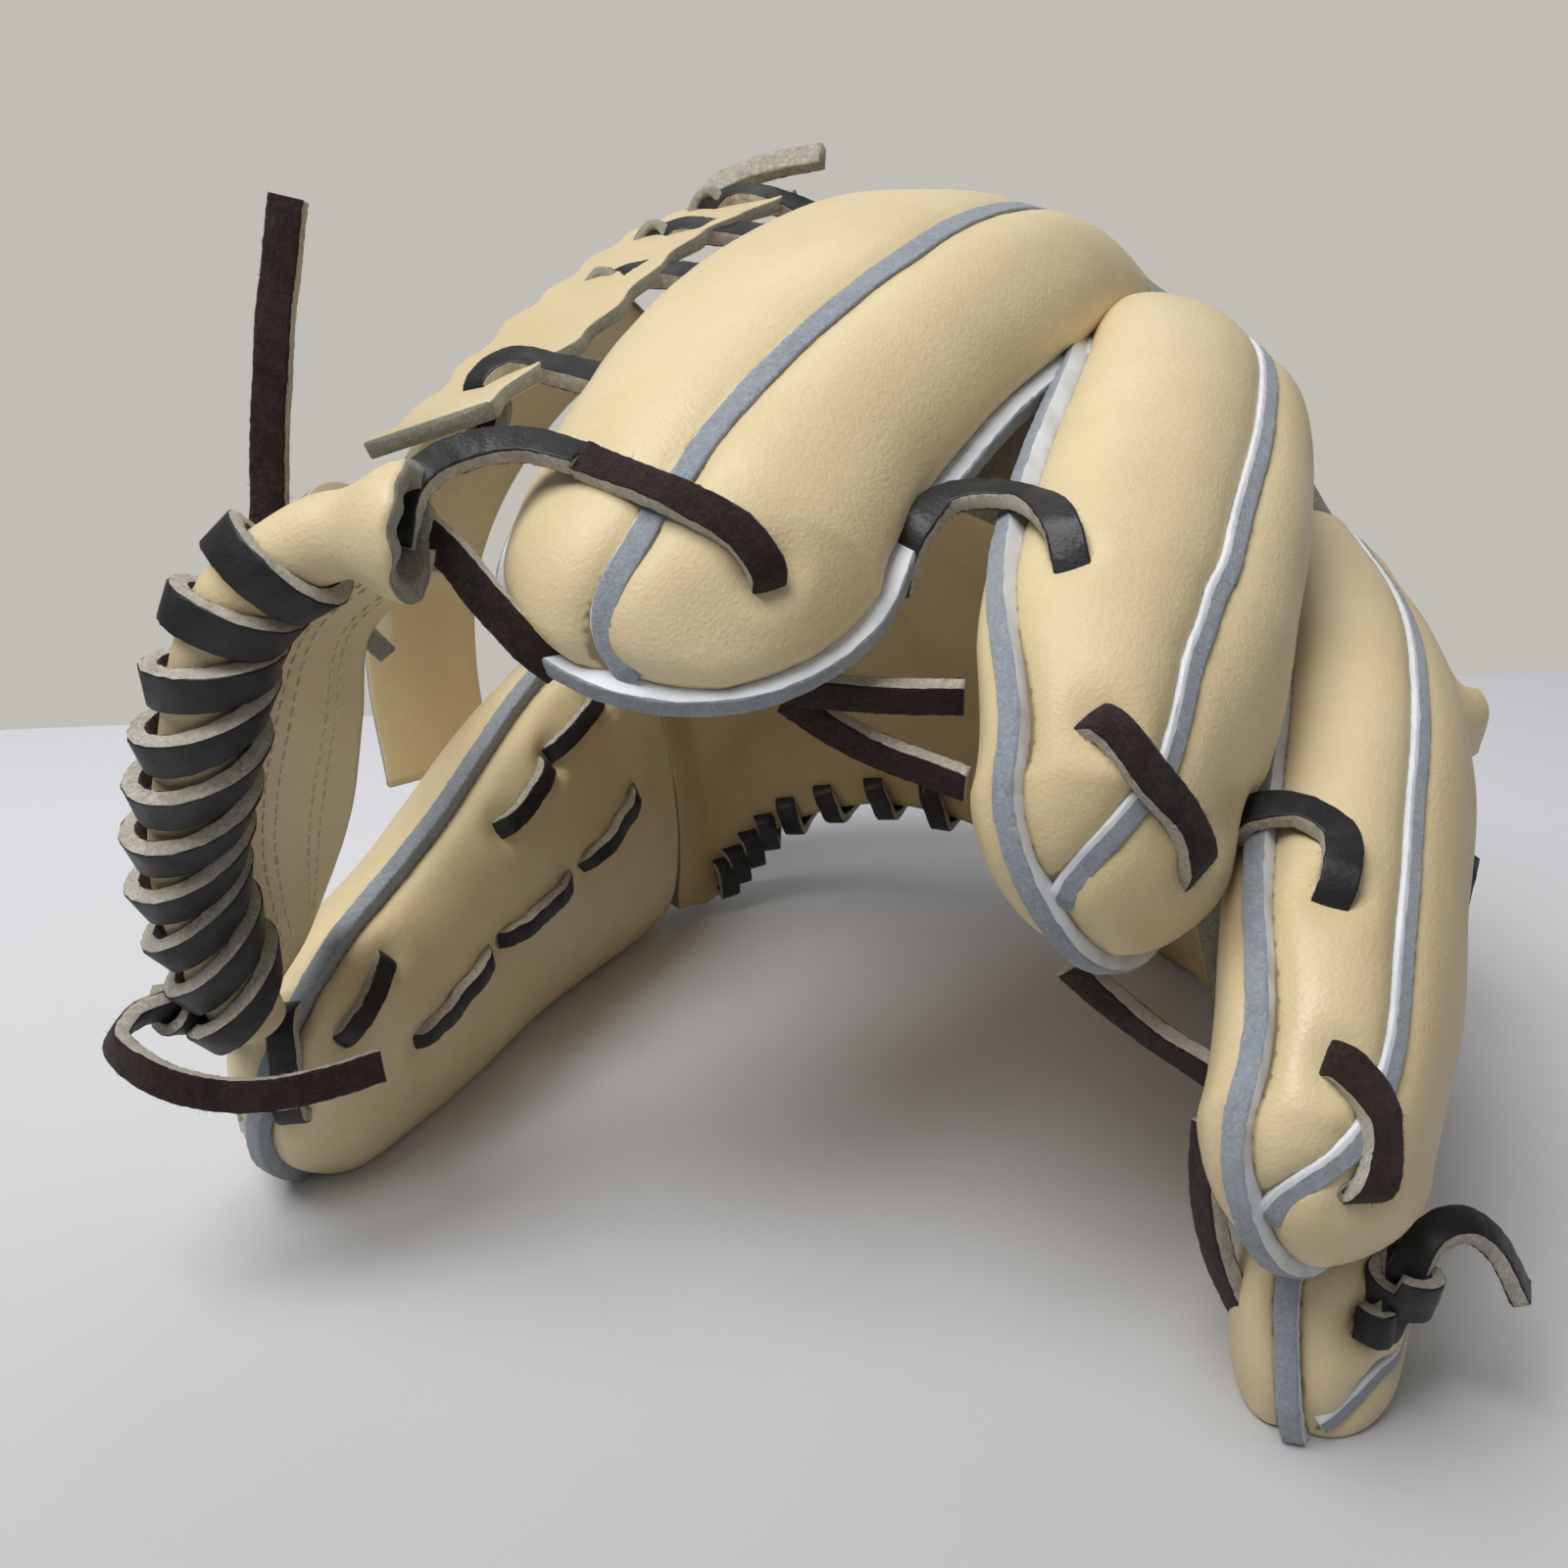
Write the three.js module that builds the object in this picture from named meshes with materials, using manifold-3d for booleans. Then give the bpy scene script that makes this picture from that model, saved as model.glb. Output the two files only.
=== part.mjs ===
// A baseball infield glove for the left hand, standing palm down on its thumb, its little finger
// and its heel. Millimetres, +Z up from the surface it stands on, the fingers pointing towards -Y
// and the thumb towards -X.
import * as THREE from "three";
import { mergeVertices } from "three/addons/utils/BufferGeometryUtils.js";
import Module from "manifold-3d";

const wasm = await Module();
wasm.setup();
const { Manifold, Mesh } = wasm;

// Middle of the tables' box, which moves to the origin
const CENTRE = [5.7, 5.3];

const GAP = 0.35; // clearance between neighbouring pieces
const FLATNESS = 0.1; // how far a surface may move as small faces are joined

// Finger stalls
const SIDES = 14; // sides of a stall's section
const HOLLOW_SIDES = 11; // and of its hollow
const STATIONS = 10; // sections of a stall along its length
const TIP_SHARE = 0.42; // length of the round tip as a share of the width there
const TIP_STATIONS = 0.4; // share of the sections that shape the tip
const STALL_WALL = 4.3; // padded wall
const BOXINESS = 2.5; // exponent of the rounded section, 2 would be an ellipse
const HALF_ROOM = 6; // how far the halves' dividing bodies run past the surface
const BACK_SHARE = 0.58; // share of the thickness on the back-of-hand side of the middle

// Leather panels
const PALM_THICK = 9;
const BACK_THICK = 4;
const WEB_THICK = 3;
const STRAP_THICK = 3.5;

// Web roll
const ROLL_SIDES = 8;
const ROLL_RINGS = 10;
const ROLL_RADIUS = 6.3;
const ROLL_WALL = 2.8;
const ROLL_FLARE = 0.9; // how far its open end widens

// Welts and seams, sewn on at a small height over the stalls
const SEAT = 0.45;
const WELT_WIDTH = 4.2;
const WELT_RISE = 2.6;
const WELT_STATIONS = 8;
const SEAM_WIDTH = 4.2;
const SEAM_RISE = 1.4;

// Laces
const LACE_WIDTH = 6;
const LACE_THICK = 3;
const WINDING_WIDTH = 5.4; // drawn tight round the roll and the heel
const WINDING_THICK = 2.6;
const ROLL_TURNS = 10;
const ROLL_SPAN = [0.03, 0.76]; // share of the roll's length that is wound
const HEEL_TURNS = 7;
const HEEL_SPAN = [0.06, 0.62]; // share of the heel edge that is wound
const HEEL_HOLE = { inset: 7.2, half: [2.6, 6, 10] };

const glove = new THREE.Group();

const v3 = (x, y, z) => new THREE.Vector3(x, y, z);
const turn = (degrees) => (degrees * Math.PI) / 180;
const clamp = (i, count) => Math.min(count - 1, Math.max(0, i));

// Materials
const leather = new THREE.MeshStandardMaterial({ color: 0xd9bd8b, roughness: 0.55 });
const welting = new THREE.MeshStandardMaterial({ color: 0x8f9aa6, roughness: 0.9 });
const lacing = new THREE.MeshStandardMaterial({ color: 0x241c1c, roughness: 0.7 });

// Finger stalls, from the tip: x, y, z of the section's middle, width, thickness, lean in degrees
const FINGERS = {
  index: [
    [-30, -92, 124, 58, 32, 2],
    [-30, -73, 137, 63, 36, 2],
    [-24, -57, 150, 65, 38, 8],
    [-11, -33, 164, 68, 38, 13],
    [11, -1, 176, 69, 38, 14],
    [33, 30, 177, 58, 35, 10],
    [51, 56, 168, 50, 32, 5],
  ],
  middle: [
    [31, -109, 89, 45, 30, 46],
    [34, -97, 101, 53, 34, 46],
    [39, -84, 118, 57, 36, 42],
    [47, -63, 133, 55, 36, 38],
    [57, -37, 147, 53, 35, 38],
    [65, -6, 157, 50, 34, 36],
    [69, 29, 158, 47, 32, 32],
  ],
  ring: [
    [61, -126, 45, 42, 28, 50],
    [66, -117, 55, 47, 31, 50],
    [73, -101, 72, 49, 33, 52],
    [82, -77, 85, 49, 33, 52],
    [92, -48, 97, 49, 34, 52],
    [100, -14, 105, 47, 33, 50],
    [104, 22, 111, 45, 32, 46],
  ],
  pinky: [
    [70, -118, 7, 41, 26, 78],
    [74, -107, 10, 45, 28, 76],
    [83, -88, 20, 48, 30, 74],
    [92, -64, 34, 48, 32, 74],
    [102, -38, 47, 48, 32, 74],
    [112, -10, 58, 46, 32, 72],
    [118, 21, 66, 45, 32, 70],
  ],
  thumb: [
    [-121, -54, 18, 42, 28, -82],
    [-115, -43, 22, 50, 32, -84],
    [-107, -24, 26, 60, 35, -87],
    [-95, 2, 32, 70, 37, -89],
    [-79, 39, 42, 86, 39, -91],
    [-60, 80, 49, 96, 40, -93],
  ],
};

// Palm leather: rows from the finger side to the heel, each from the thumb to the little finger
const PALM = [
  [[-52, 76, 94], [-24, 58, 126], [8, 24, 144], [46, -6, 134], [74, -20, 88], [88, -26, 30]],
  [[-46, 88, 64], [-20, 80, 102], [14, 58, 120], [52, 34, 110], [80, 14, 70], [96, 6, 22]],
  [[-43, 98, 36], [-20, 100, 68], [14, 86, 84], [52, 68, 76], [82, 48, 46], [100, 42, 12]],
  [[-42, 104, 5], [-19, 109, 26], [14, 100, 39], [48, 92, 34], [74, 82, 18], [100, 73, 3]],
];

// Back of the hand: lines at the knuckles, across the middle and at the wrist
const BACK = [
  [[-84, 66, 30], [-78, 74, 84], [-44, 84, 132], [4, 66, 170], [42, 48, 188], [74, 28, 171],
    [100, 20, 136], [117, 11, 108], [134, 9, 76], [126, 5, 44]],
  [[-76, 104, 22], [-66, 112, 66], [-36, 118, 104], [4, 116, 128], [40, 106, 138], [76, 88, 130],
    [100, 70, 110], [116, 58, 88], [129, 46, 56], [122, 40, 22]],
  [[-58, 124, 5], [-50, 134, 34], [-26, 142, 58], [4, 144, 70], [32, 142, 72], [58, 134, 66],
    [80, 124, 52], [98, 112, 38], [112, 100, 22], [112, 90, 4]],
];

// Open back: the hole over the knuckles, its middle, half sizes and lean in degrees
const BACK_HOLE = { at: [42, 84, 163], half: [34, 17, 30], lean: -45 };

// Web: the rolled top edge from its thumb end, and the sewn skirt in rows away from the roll
const ROLL = [
  [-117, -63, 51], [-120, -73, 84], [-112, -82, 112], [-102, -86, 137], [-87, -87, 148], [-72, -91, 150],
];
const SKIRT = [
  [[-113, -56, 55], [-114, -64, 84], [-107, -73, 110], [-96, -77, 132], [-84, -79, 141]],
  [[-110, -46, 60], [-106, -55, 86], [-99, -62, 108], [-92, -67, 128], [-78, -70, 139]],
  [[-109, -38, 64], [-98, -47, 88], [-93, -52, 108], [-88, -58, 126], [-72, -62, 138]],
];

// Web straps: rows of x, y, z and the direction the wide face looks in
const WEB_BASE = [
  [-105, 58, 58, 5, -9, 1], [-107, 56, 88, 5, -9, 1], [-104, 52, 112, 5, -8, -2],
  [-92, 46, 138, 4, -7, -5], [-72, 40, 160, 2, -5, -8], [-46, 38, 174, 0, -4, -9],
];
const WEB_POST = [
  [-110, 44, 124, 8, 0, 6], [-107, 8, 131, 8, 0, 6], [-102, -24, 133, 8, 0, 6], [-95, -52, 128, 8, 0, 6],
];
const WEB_INDEX = [
  [-77, -51, 160, -5, -4, 7], [-67, -24, 168, -5, -4, 7], [-54, 3, 180, -5, -3, 8],
  [-41, 30, 190, -5, -2, 8], [-23, 61, 198, -5, -1, 8],
];

// Tab at the end of the strap across the back of the wrist, rows as above
const TAB = [
  [129, 44, 84, 9, 3, 3], [137, 28, 91, 9, 0, 4], [138, 15, 94, 7, -6, 4],
  [141, 12, 88, 6, -8, 1], [142, 16, 76, 6, -8, -1],
];

// One turn of the lace over the heel edge: millimetres outwards from the edge, then off the
// middle of the leather
const HEEL_WRAP = [
  [2.8, 0], [2.4, 6.8], [-2.6, 7.4], [-6.8, 7], [-7.2, 0], [-6.8, -7], [-2.6, -7.4], [2.4, -6.8],
];

// Turn of each seam away from the middle of the stall's back in degrees: at the tip, half way,
// at the base
const SEAM_TURNS = {
  index: [-26, 8, 8],
  middle: [-36, 0, 8],
  ring: [-36, -17, -14],
  pinky: [0, 0, 0],
  thumb: [0, 0, 0],
};

// Laces and their free ends: rows of x, y, z and the direction the wide face looks in
const LACES = {
  tall_tail: [
    [-105, -74, 134, 0, -9, 3], [-102, -66, 146, 0, -9, 3], [-101, -64, 158, 0, -9, 3],
    [-98, -62, 180, 0, -9, 3], [-95, -59, 198, 0, -9, 3],
  ],
  web_bridge_lace: [
    [-76, -86, 147, 2, -5, 8], [-73, -83, 156, -1, -2, 9], [-66, -77, 160, 0, 0, 9],
    [-57, -75, 161, 0, 1, 9], [-47, -78, 159, 1, -1, 9],
  ],
  web_under_lace: [
    [-76, -81, 151, -7, -3, 6], [-69, -80, 145, -7, -3, 6], [-62, -85, 138, -6, -5, 6],
    [-55, -88, 131, -6, -5, 6],
  ],
  index_tip_lace: [
    [-47, -78, 159, -4, -5, 7], [-44, -80, 158, -2, -6, 8], [-36, -85, 156, 0, -6, 8],
    [-30, -88, 154, -1, -7, 7], [-22, -91, 150, 0, -8, 5], [-18, -92, 145, 1, -9, 4],
    [-18, -88, 141, 3, -9, 2],
  ],
  index_middle_lace: [
    [5, -72, 142, 0, -5, 9], [7, -72, 147, 0, -5, 9], [12, -68, 151, 0, -3, 9],
    [23, -71, 152, 1, -3, 9], [28, -85, 150, -3, -4, 9], [30, -90, 142, -2, -6, 7],
  ],
  middle_tip_lace: [
    [29, -109, 125, 1, -7, 7], [32, -113, 126, 1, -7, 7], [38, -116, 119, 4, -9, 2],
    [44, -114, 112, 6, -7, 2], [47, -112, 105, 5, -8, 0], [47, -105, 99, 6, -7, -1],
  ],
  middle_ring_lace: [
    [61, -91, 104, 0, -5, 9], [68, -93, 105, 1, -4, 9], [73, -98, 103, 0, -4, 9],
    [71, -106, 99, -1, -6, 8], [69, -107, 92, -1, -6, 8],
  ],
  ring_tip_lace: [
    [65, -125, 78, 0, -8, 5], [67, -129, 79, 0, -8, 5], [71, -132, 74, 4, -8, 3],
    [72, -133, 68, 4, -8, 4], [71, -135, 63, 2, -9, 1], [69, -131, 59, 3, -9, -2],
  ],
  palm_lace_upper: [[-17, -78, 122, 1, -9, -4], [-4, -77, 120, 0, -9, -4], [15, -79, 120, -1, -9, -4]],
  palm_lace_lower: [[-15, -71, 118, 1, -9, -4], [-3, -74, 111, 0, -9, -4], [16, -80, 105, -1, -9, -4]],
  palm_lace_ring_lower: [[33, -94, 78, 0, -8, -6], [44, -97, 69, -2, -8, -6], [56, -104, 63, -4, -8, -4]],
  palm_lace_pinky: [
    [56, -103, 53, -8, -5, -2], [56, -105, 42, -9, -4, -1], [59, -106, 29, -9, -4, 0],
    [65, -106, 16, -9, -3, 1],
  ],
  thumb_tail: [
    [-128, -46, 39, -9, -3, 4], [-125, -60, 52, -9, -4, 3], [-128, -68, 57, -9, -4, 5],
    [-133, -75, 58, -9, -4, 4], [-134.6, -81, 56, -5, -8, 1], [-126, -85, 51, -1, -9, 3],
    [-113, -84, 47, 0, -9, 3], [-99, -80, 47, 1, -9, 3], [-89, -75, 48, 1, -9, 3],
  ],
  thumb_tip_lace: [
    [-114, -50, 46, -1, -7, 7], [-114, -55, 46, -1, -7, 7], [-113, -58, 38, -1, -9, 3],
    [-113, -59, 28, 0, -9, -1], [-113, -54, 25, 1, -9, -2],
  ],
  thumb_dash_a: [
    [-105, -48, 39, 7, -5, 4], [-101, -48, 42, 7, -5, 4], [-99, -43, 45, 7, -5, 5],
    [-98, -38, 48, 7, -5, 5], [-100, -34, 47, 7, -5, 5],
  ],
  thumb_dash_b: [
    [-96, -30, 28, 9, -4, -1], [-90, -28, 29, 9, -4, -1], [-86, -20, 33, 9, -4, -1],
    [-82, -11, 36, 9, -4, -1], [-84, -5, 38, 9, -4, -1],
  ],
  thumb_dash_c: [
    [-82, -3, 39, 9, -4, -1], [-76, 0, 39, 9, -4, -1], [-72, 10, 40, 9, -4, -1],
    [-67, 21, 41, 9, -4, 0], [-69, 28, 42, 9, -4, 0],
  ],
  thumb_dash_d: [
    [-67, 31, 43, 9, -4, 0], [-61, 33, 44, 9, -4, 0], [-57, 42, 48, 9, -4, 0],
    [-53, 51, 52, 9, -4, 0], [-55, 57, 54, 9, -4, 0],
  ],
  thumb_dash_e: [
    [-80, 5, 62, 7, -5, 4], [-76, 5, 66, 7, -5, 4], [-73, 12, 69, 7, -5, 4],
    [-71, 18, 72, 7, -5, 4], [-73, 24, 72, 8, -5, 4],
  ],
  thumb_dash_f: [
    [-72, 26, 73, 8, -5, 4], [-67, 27, 76, 8, -5, 4], [-64, 35, 79, 8, -4, 5],
    [-61, 43, 81, 8, -4, 5], [-63, 49, 80, 8, -4, 5],
  ],
  pinky_edge_lace: [
    [83, -118, 23, 3, -9, 1], [87, -111, 33, 3, -7, 6], [99, -82, 29, 6, -7, 2],
    [101, -73, 38, 7, -6, 2], [106, -65, 48, 7, -6, 3],
  ],
  pinky_back_tail: [
    [109, -53, 45, 6, -7, 2], [114, -46, 54, 6, -7, 2], [120, -40, 62, 6, -7, 2],
    [124, -34, 73, 6, -7, 2],
  ],
  pinky_tail: [
    [82, -120, 25, 3, -9, 1], [86, -114, 24, 2, -9, 3], [87, -115, 32, -2, -7, 7],
    [91, -113, 38, -5, -4, 8], [97, -111, 39, 0, -3, 9], [103, -110, 35, 6, -3, 7],
    [109, -111, 25, 9, -4, 1],
  ],
  web_loop_a: [
    [-44, -34, 165, 2, -5, 8], [-57, -35, 169, 0, -3, 9], [-65, -35, 170, -2, -3, 9],
    [-70, -37, 166, -7, -5, 5], [-68, -38, 161, -7, -7, 2],
  ],
  web_loop_b: [
    [-22, 4, 180, 2, -5, 8], [-38, 4, 184, 0, -3, 9], [-47, 6, 183, -2, -3, 9],
    [-52, 7, 179, -7, -5, 5],
  ],
  web_loop_c: [
    [-12, 28, 188, 2, -5, 8], [-30, 28, 192, 0, -3, 9], [-38, 30, 192, -2, -3, 9],
    [-43, 31, 188, -7, -5, 5],
  ],
  web_loop_d: [
    [-4, 48, 192, 2, -5, 8], [-20, 50, 199, 0, -3, 9], [-27, 52, 199, -2, -3, 9],
    [-32, 53, 195, -7, -5, 5],
  ],
  far_tail: [
    [-36, 58, 194, -3, -6, 7], [-29, 62, 202, -2, -6, 7], [-17, 61, 206, -1, -7, 7],
    [-6, 58, 208, 0, -7, 7],
  ],
  tab_lace: [[136, 22, 75, 7, -7, 3], [138, 19, 80, 7, -7, 3], [141, 13, 80, 7, -7, 3]],
};

// A body for cutting and joining, turned to face outwards
function solid(points, faces) {
  let volume = 0;
  for (let i = 0; i < faces.length; i += 3) {
    const [a, b, c] = [points[faces[i]], points[faces[i + 1]], points[faces[i + 2]]];
    volume += a.dot(b.clone().cross(c));
  }
  const triVerts = new Uint32Array(volume < 0 ? faces.slice().reverse() : faces);
  const vertProperties = new Float32Array(points.flatMap((p) => p.toArray()));
  const mesh = new Mesh({ numProp: 3, vertProperties, triVerts });
  mesh.merge();
  return new Manifold(mesh);
}

// The same from a closed three.js geometry
function geometrySolid(geometry) {
  geometry.deleteAttribute("normal");
  geometry.deleteAttribute("uv");
  const { attributes, index } = mergeVertices(geometry);
  const points = Array.from({ length: attributes.position.count }, (_, i) =>
    new THREE.Vector3().fromBufferAttribute(attributes.position, i));
  return solid(points, Array.from(index.array));
}

// A body from rings of equal size. The end rings are capped, or joined when ringsMeet is true.
function ringBody(rings, ringsMeet = false) {
  const n = rings[0].length;
  const points = rings.flat();
  const faces = [];
  const spans = ringsMeet ? rings.length : rings.length - 1;
  for (let r = 0; r < spans; r++) {
    const next = (r + 1) % rings.length;
    for (let k = 0; k < n; k++) {
      const a = r * n + k;
      const b = r * n + ((k + 1) % n);
      const c = next * n + k;
      const d = next * n + ((k + 1) % n);
      faces.push(a, b, d, a, d, c);
    }
  }
  if (!ringsMeet) {
    for (const r of [0, rings.length - 1]) {
      const centre = points.length;
      points.push(rings[r].reduce((sum, p) => sum.add(p), v3(0, 0, 0)).divideScalar(n));
      for (let k = 0; k < n; k++) {
        const a = r * n + k;
        const b = r * n + ((k + 1) % n);
        faces.push(centre, ...(r === 0 ? [b, a] : [a, b]));
      }
    }
  }
  return solid(points, faces);
}

// A smooth grid through a table of points, one row of the table per line of the grid
function smoothGrid(table, across, along) {
  const lines = table.map((row) => new THREE.CatmullRomCurve3(row.map((p) => v3(...p))));
  const columns = [];
  for (let c = 0; c <= across; c++) {
    const curve = new THREE.CatmullRomCurve3(lines.map((line) => line.getPoint(c / across)));
    columns.push(curve.getPoints(along));
  }
  return columns[0].map((_, r) => columns.map((column) => column[r]));
}

// Directions at a point of a grid
function gridFrame(grid, r, c) {
  const at = (i, j) => grid[clamp(i, grid.length)][clamp(j, grid[0].length)];
  const across = at(r, c + 1).clone().sub(at(r, c - 1)).normalize();
  const along = at(r + 1, c).clone().sub(at(r - 1, c)).normalize();
  return { across, along, normal: across.clone().cross(along).normalize() };
}

// A grid moved off along its normals
function offsetGrid(grid, distance) {
  return grid.map((row, r) => row.map((point, c) =>
    point.clone().addScaledVector(gridFrame(grid, r, c).normal, distance)));
}

// A sheet of leather over a grid, thickened along its normals and grown on all sides by grow
function sheetBody(grid, thick, grow = 0) {
  const rows = grid.length;
  const cols = grid[0].length;
  const past = (i, count) => (i === 0 ? -grow : i === count - 1 ? grow : 0);
  const points = [];
  for (const offset of [-Math.sign(thick) * grow, thick + Math.sign(thick) * grow]) {
    for (let r = 0; r < rows; r++) {
      for (let c = 0; c < cols; c++) {
        const { across, along, normal } = gridFrame(grid, r, c);
        points.push(grid[r][c].clone()
          .addScaledVector(normal, offset)
          .addScaledVector(across, past(c, cols))
          .addScaledVector(along, past(r, rows)));
      }
    }
  }
  const faces = [];
  const quad = (a, b, c, d) => faces.push(a, b, c, a, c, d);
  const id = (side, r, c) => side * rows * cols + r * cols + c;
  for (let r = 0; r < rows - 1; r++) {
    for (let c = 0; c < cols - 1; c++) {
      quad(id(0, r, c), id(0, r + 1, c), id(0, r + 1, c + 1), id(0, r, c + 1));
      quad(id(1, r, c), id(1, r, c + 1), id(1, r + 1, c + 1), id(1, r + 1, c));
    }
    quad(id(0, r + 1, 0), id(0, r, 0), id(1, r, 0), id(1, r + 1, 0));
    quad(id(0, r, cols - 1), id(0, r + 1, cols - 1), id(1, r + 1, cols - 1), id(1, r, cols - 1));
  }
  for (let c = 0; c < cols - 1; c++) {
    quad(id(0, 0, c), id(0, 0, c + 1), id(1, 0, c + 1), id(1, 0, c));
    quad(id(0, rows - 1, c + 1), id(0, rows - 1, c), id(1, rows - 1, c), id(1, rows - 1, c + 1));
  }
  return solid(points, faces);
}

// A flat strip through samples of a point, the way along and the way its wide face looks
function stripBody(samples, width, thick, grow = 0) {
  const corners = [[1, 1], [-1, 1], [-1, -1], [1, -1]];
  const rings = samples.map(({ at, along, face }, i) => {
    const out = face.clone().addScaledVector(along, -face.dot(along)).normalize();
    const side = along.clone().cross(out);
    const end = i === 0 ? -grow : i === samples.length - 1 ? grow : 0;
    return corners.map(([s, f]) => at.clone()
      .addScaledVector(along, end)
      .addScaledVector(side, s * (width / 2 + grow))
      .addScaledVector(out, f * (thick / 2 + grow)));
  });
  return ringBody(rings);
}

// Samples of a strip from its rows
function stripSamples(rows, steps) {
  const path = new THREE.CatmullRomCurve3(rows.map(([x, y, z]) => v3(x, y, z)), false, "centripetal");
  const faces = new THREE.CatmullRomCurve3(rows.map((row) => v3(...row.slice(3)).normalize()));
  return Array.from({ length: steps + 1 }, (_, i) => {
    const t = path.getUtoTmapping(i / steps);
    return { at: path.getPoint(t), along: path.getTangent(t), face: faces.getPoint(t) };
  });
}

// The way along a line of samples, from each one's neighbours
function withAlong(samples) {
  const at = (i) => samples[clamp(i, samples.length)].at;
  return samples.map((s, i) => ({ ...s, along: at(i + 1).clone().sub(at(i - 1)).normalize() }));
}

// Smooth stations of a stall, from the fingertip to the wrist side. Lean turns the back of the
// stall about its own length: 0 faces up, 90 faces +X.
function stallStations(rows) {
  const centres = new THREE.CatmullRomCurve3(rows.map(([x, y, z]) => v3(x, y, z)));
  const sizes = new THREE.CatmullRomCurve3(rows.map((row) => v3(...row.slice(3))));
  const length = centres.getLength();
  const tip = rows[0][3] * TIP_SHARE;
  return Array.from({ length: STATIONS + 1 }, (_, i) => {
    const share = (i + 0.35) / (STATIONS + 0.35);
    const past = (share - TIP_STATIONS) / (1 - TIP_STATIONS);
    const distance = past < 0 ? (share / TIP_STATIONS) ** 1.8 * tip : tip + past * (length - tip);
    const t = centres.getUtoTmapping(Math.min(1, distance / length));
    const tangent = centres.getTangent(t);
    const [width, thick, lean] = sizes.getPoint(t).toArray();
    const up = v3(Math.sin(turn(lean)), 0, Math.cos(turn(lean)));
    const back = up.addScaledVector(tangent, -up.dot(tangent)).normalize();
    const side = back.clone().cross(tangent).normalize();
    const round = Math.sqrt(1 - Math.max(0, 1 - distance / tip) ** 2);
    return { centre: centres.getPoint(t), back, side, tangent, width: width * round, thick: thick * round };
  });
}

// A point of a stall's surface: angle 0 on its right edge, a quarter turn on its back
function stallPoint(station, angle, grow = 0) {
  const round = (c) => Math.sign(c) * Math.abs(c) ** (2 / BOXINESS);
  const rise = round(Math.sin(angle));
  const half = station.width / 2 + grow;
  const deep = station.thick * (rise > 0 ? BACK_SHARE : 1 - BACK_SHARE) + grow;
  return station.centre
    .clone()
    .addScaledVector(station.side, round(Math.cos(angle)) * half)
    .addScaledVector(station.back, rise * deep);
}

const stallRing = (station, grow, sides = SIDES) =>
  Array.from({ length: sides }, (_, k) => stallPoint(station, (2 * Math.PI * k) / sides, grow));

const moved = (station, distance) =>
  ({ ...station, centre: station.centre.clone().addScaledVector(station.tangent, distance) });

// The stall as a full body, grown outwards by grow
function stallSolid(rows, grow = 0) {
  const stations = stallStations(rows);
  if (grow > 0) stations.unshift(moved(stations[0], -grow));
  return ringBody(stations.map((s) => stallRing(s, grow)));
}

// The hollow of a stall, running out past its wrist end
function stallHollow(rows) {
  const stations = stallStations(rows).filter((_, i) => i > 3 && i % 2 === 0);
  stations.push(moved(stations[stations.length - 1], 5));
  return ringBody(stations.map((s) => stallRing(s, -STALL_WALL, HOLLOW_SIDES)));
}

// The space on the back of a stall's middle, side 1, or on its palm side, side -1
function stallHalf(rows, side) {
  const stations = stallStations(rows);
  const all = [moved(stations[0], -HALF_ROOM), ...stations, moved(stations[STATIONS], HALF_ROOM)];
  return ringBody(all.map((s) => {
    const reach = Math.max(s.width, rows[0][3]) / 2 + HALF_ROOM;
    return [[1, GAP / 2], [1, reach], [-1, reach], [-1, GAP / 2]].map(([across, rise]) => s.centre
      .clone()
      .addScaledVector(s.side, across * reach)
      .addScaledVector(s.back, side * rise));
  }));
}

// The way a stall's surface looks at an angle round its section
function stallFace(station, angle) {
  const [a, b] = [stallPoint(station, angle - 0.2), stallPoint(station, angle + 0.2)];
  return b.sub(a).cross(station.tangent).normalize();
}

// Samples of the seam down a stall's back
function seamSamples(rows, [atTip, half, atBase]) {
  const stations = stallStations(rows);
  return stations.map((s, i) => {
    const share = (2 * i) / (stations.length - 1);
    const degrees = share < 1 ? atTip + (half - atTip) * share : half + (atBase - half) * (share - 1);
    const angle = Math.PI / 2 + turn(degrees);
    return { at: stallPoint(s, angle, SEAT + SEAM_RISE / 2), along: s.tangent, face: stallFace(s, angle) };
  }).slice(4);
}

// Samples of the welt along both sides of a stall and round its tip
function weltSamples(rows) {
  const stations = stallStations(rows).slice(0, WELT_STATIONS);
  const edge = (angle) => stations.map((s) => ({ at: stallPoint(s, angle), back: s.back }));
  const tip = { at: moved(stations[0], -0.2).centre, back: stations[0].back };
  return withAlong([...edge(Math.PI).reverse(), tip, ...edge(0)]).map(({ at, back, along }) => {
    const face = back.clone().cross(along).normalize();
    return { at: at.addScaledVector(face, SEAT + WELT_RISE / 2), along, face };
  });
}

// Two directions square to the roll of the web
function rollFrame(along) {
  const side = along.clone().cross(v3(0, 1, 0)).normalize();
  return { side, up: side.clone().cross(along) };
}

function rollRings(path, grow) {
  return Array.from({ length: ROLL_RINGS + 1 }, (_, i) => {
    const t = i / ROLL_RINGS;
    const { side, up } = rollFrame(path.getTangent(t));
    const radius = ROLL_RADIUS + grow + (i > ROLL_RINGS - 2 ? ROLL_FLARE : 0);
    return Array.from({ length: ROLL_SIDES }, (_, k) => {
      const angle = (2 * Math.PI * k) / ROLL_SIDES;
      return path.getPoint(t)
        .addScaledVector(side, radius * Math.cos(angle))
        .addScaledVector(up, radius * Math.sin(angle));
    });
  });
}

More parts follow.
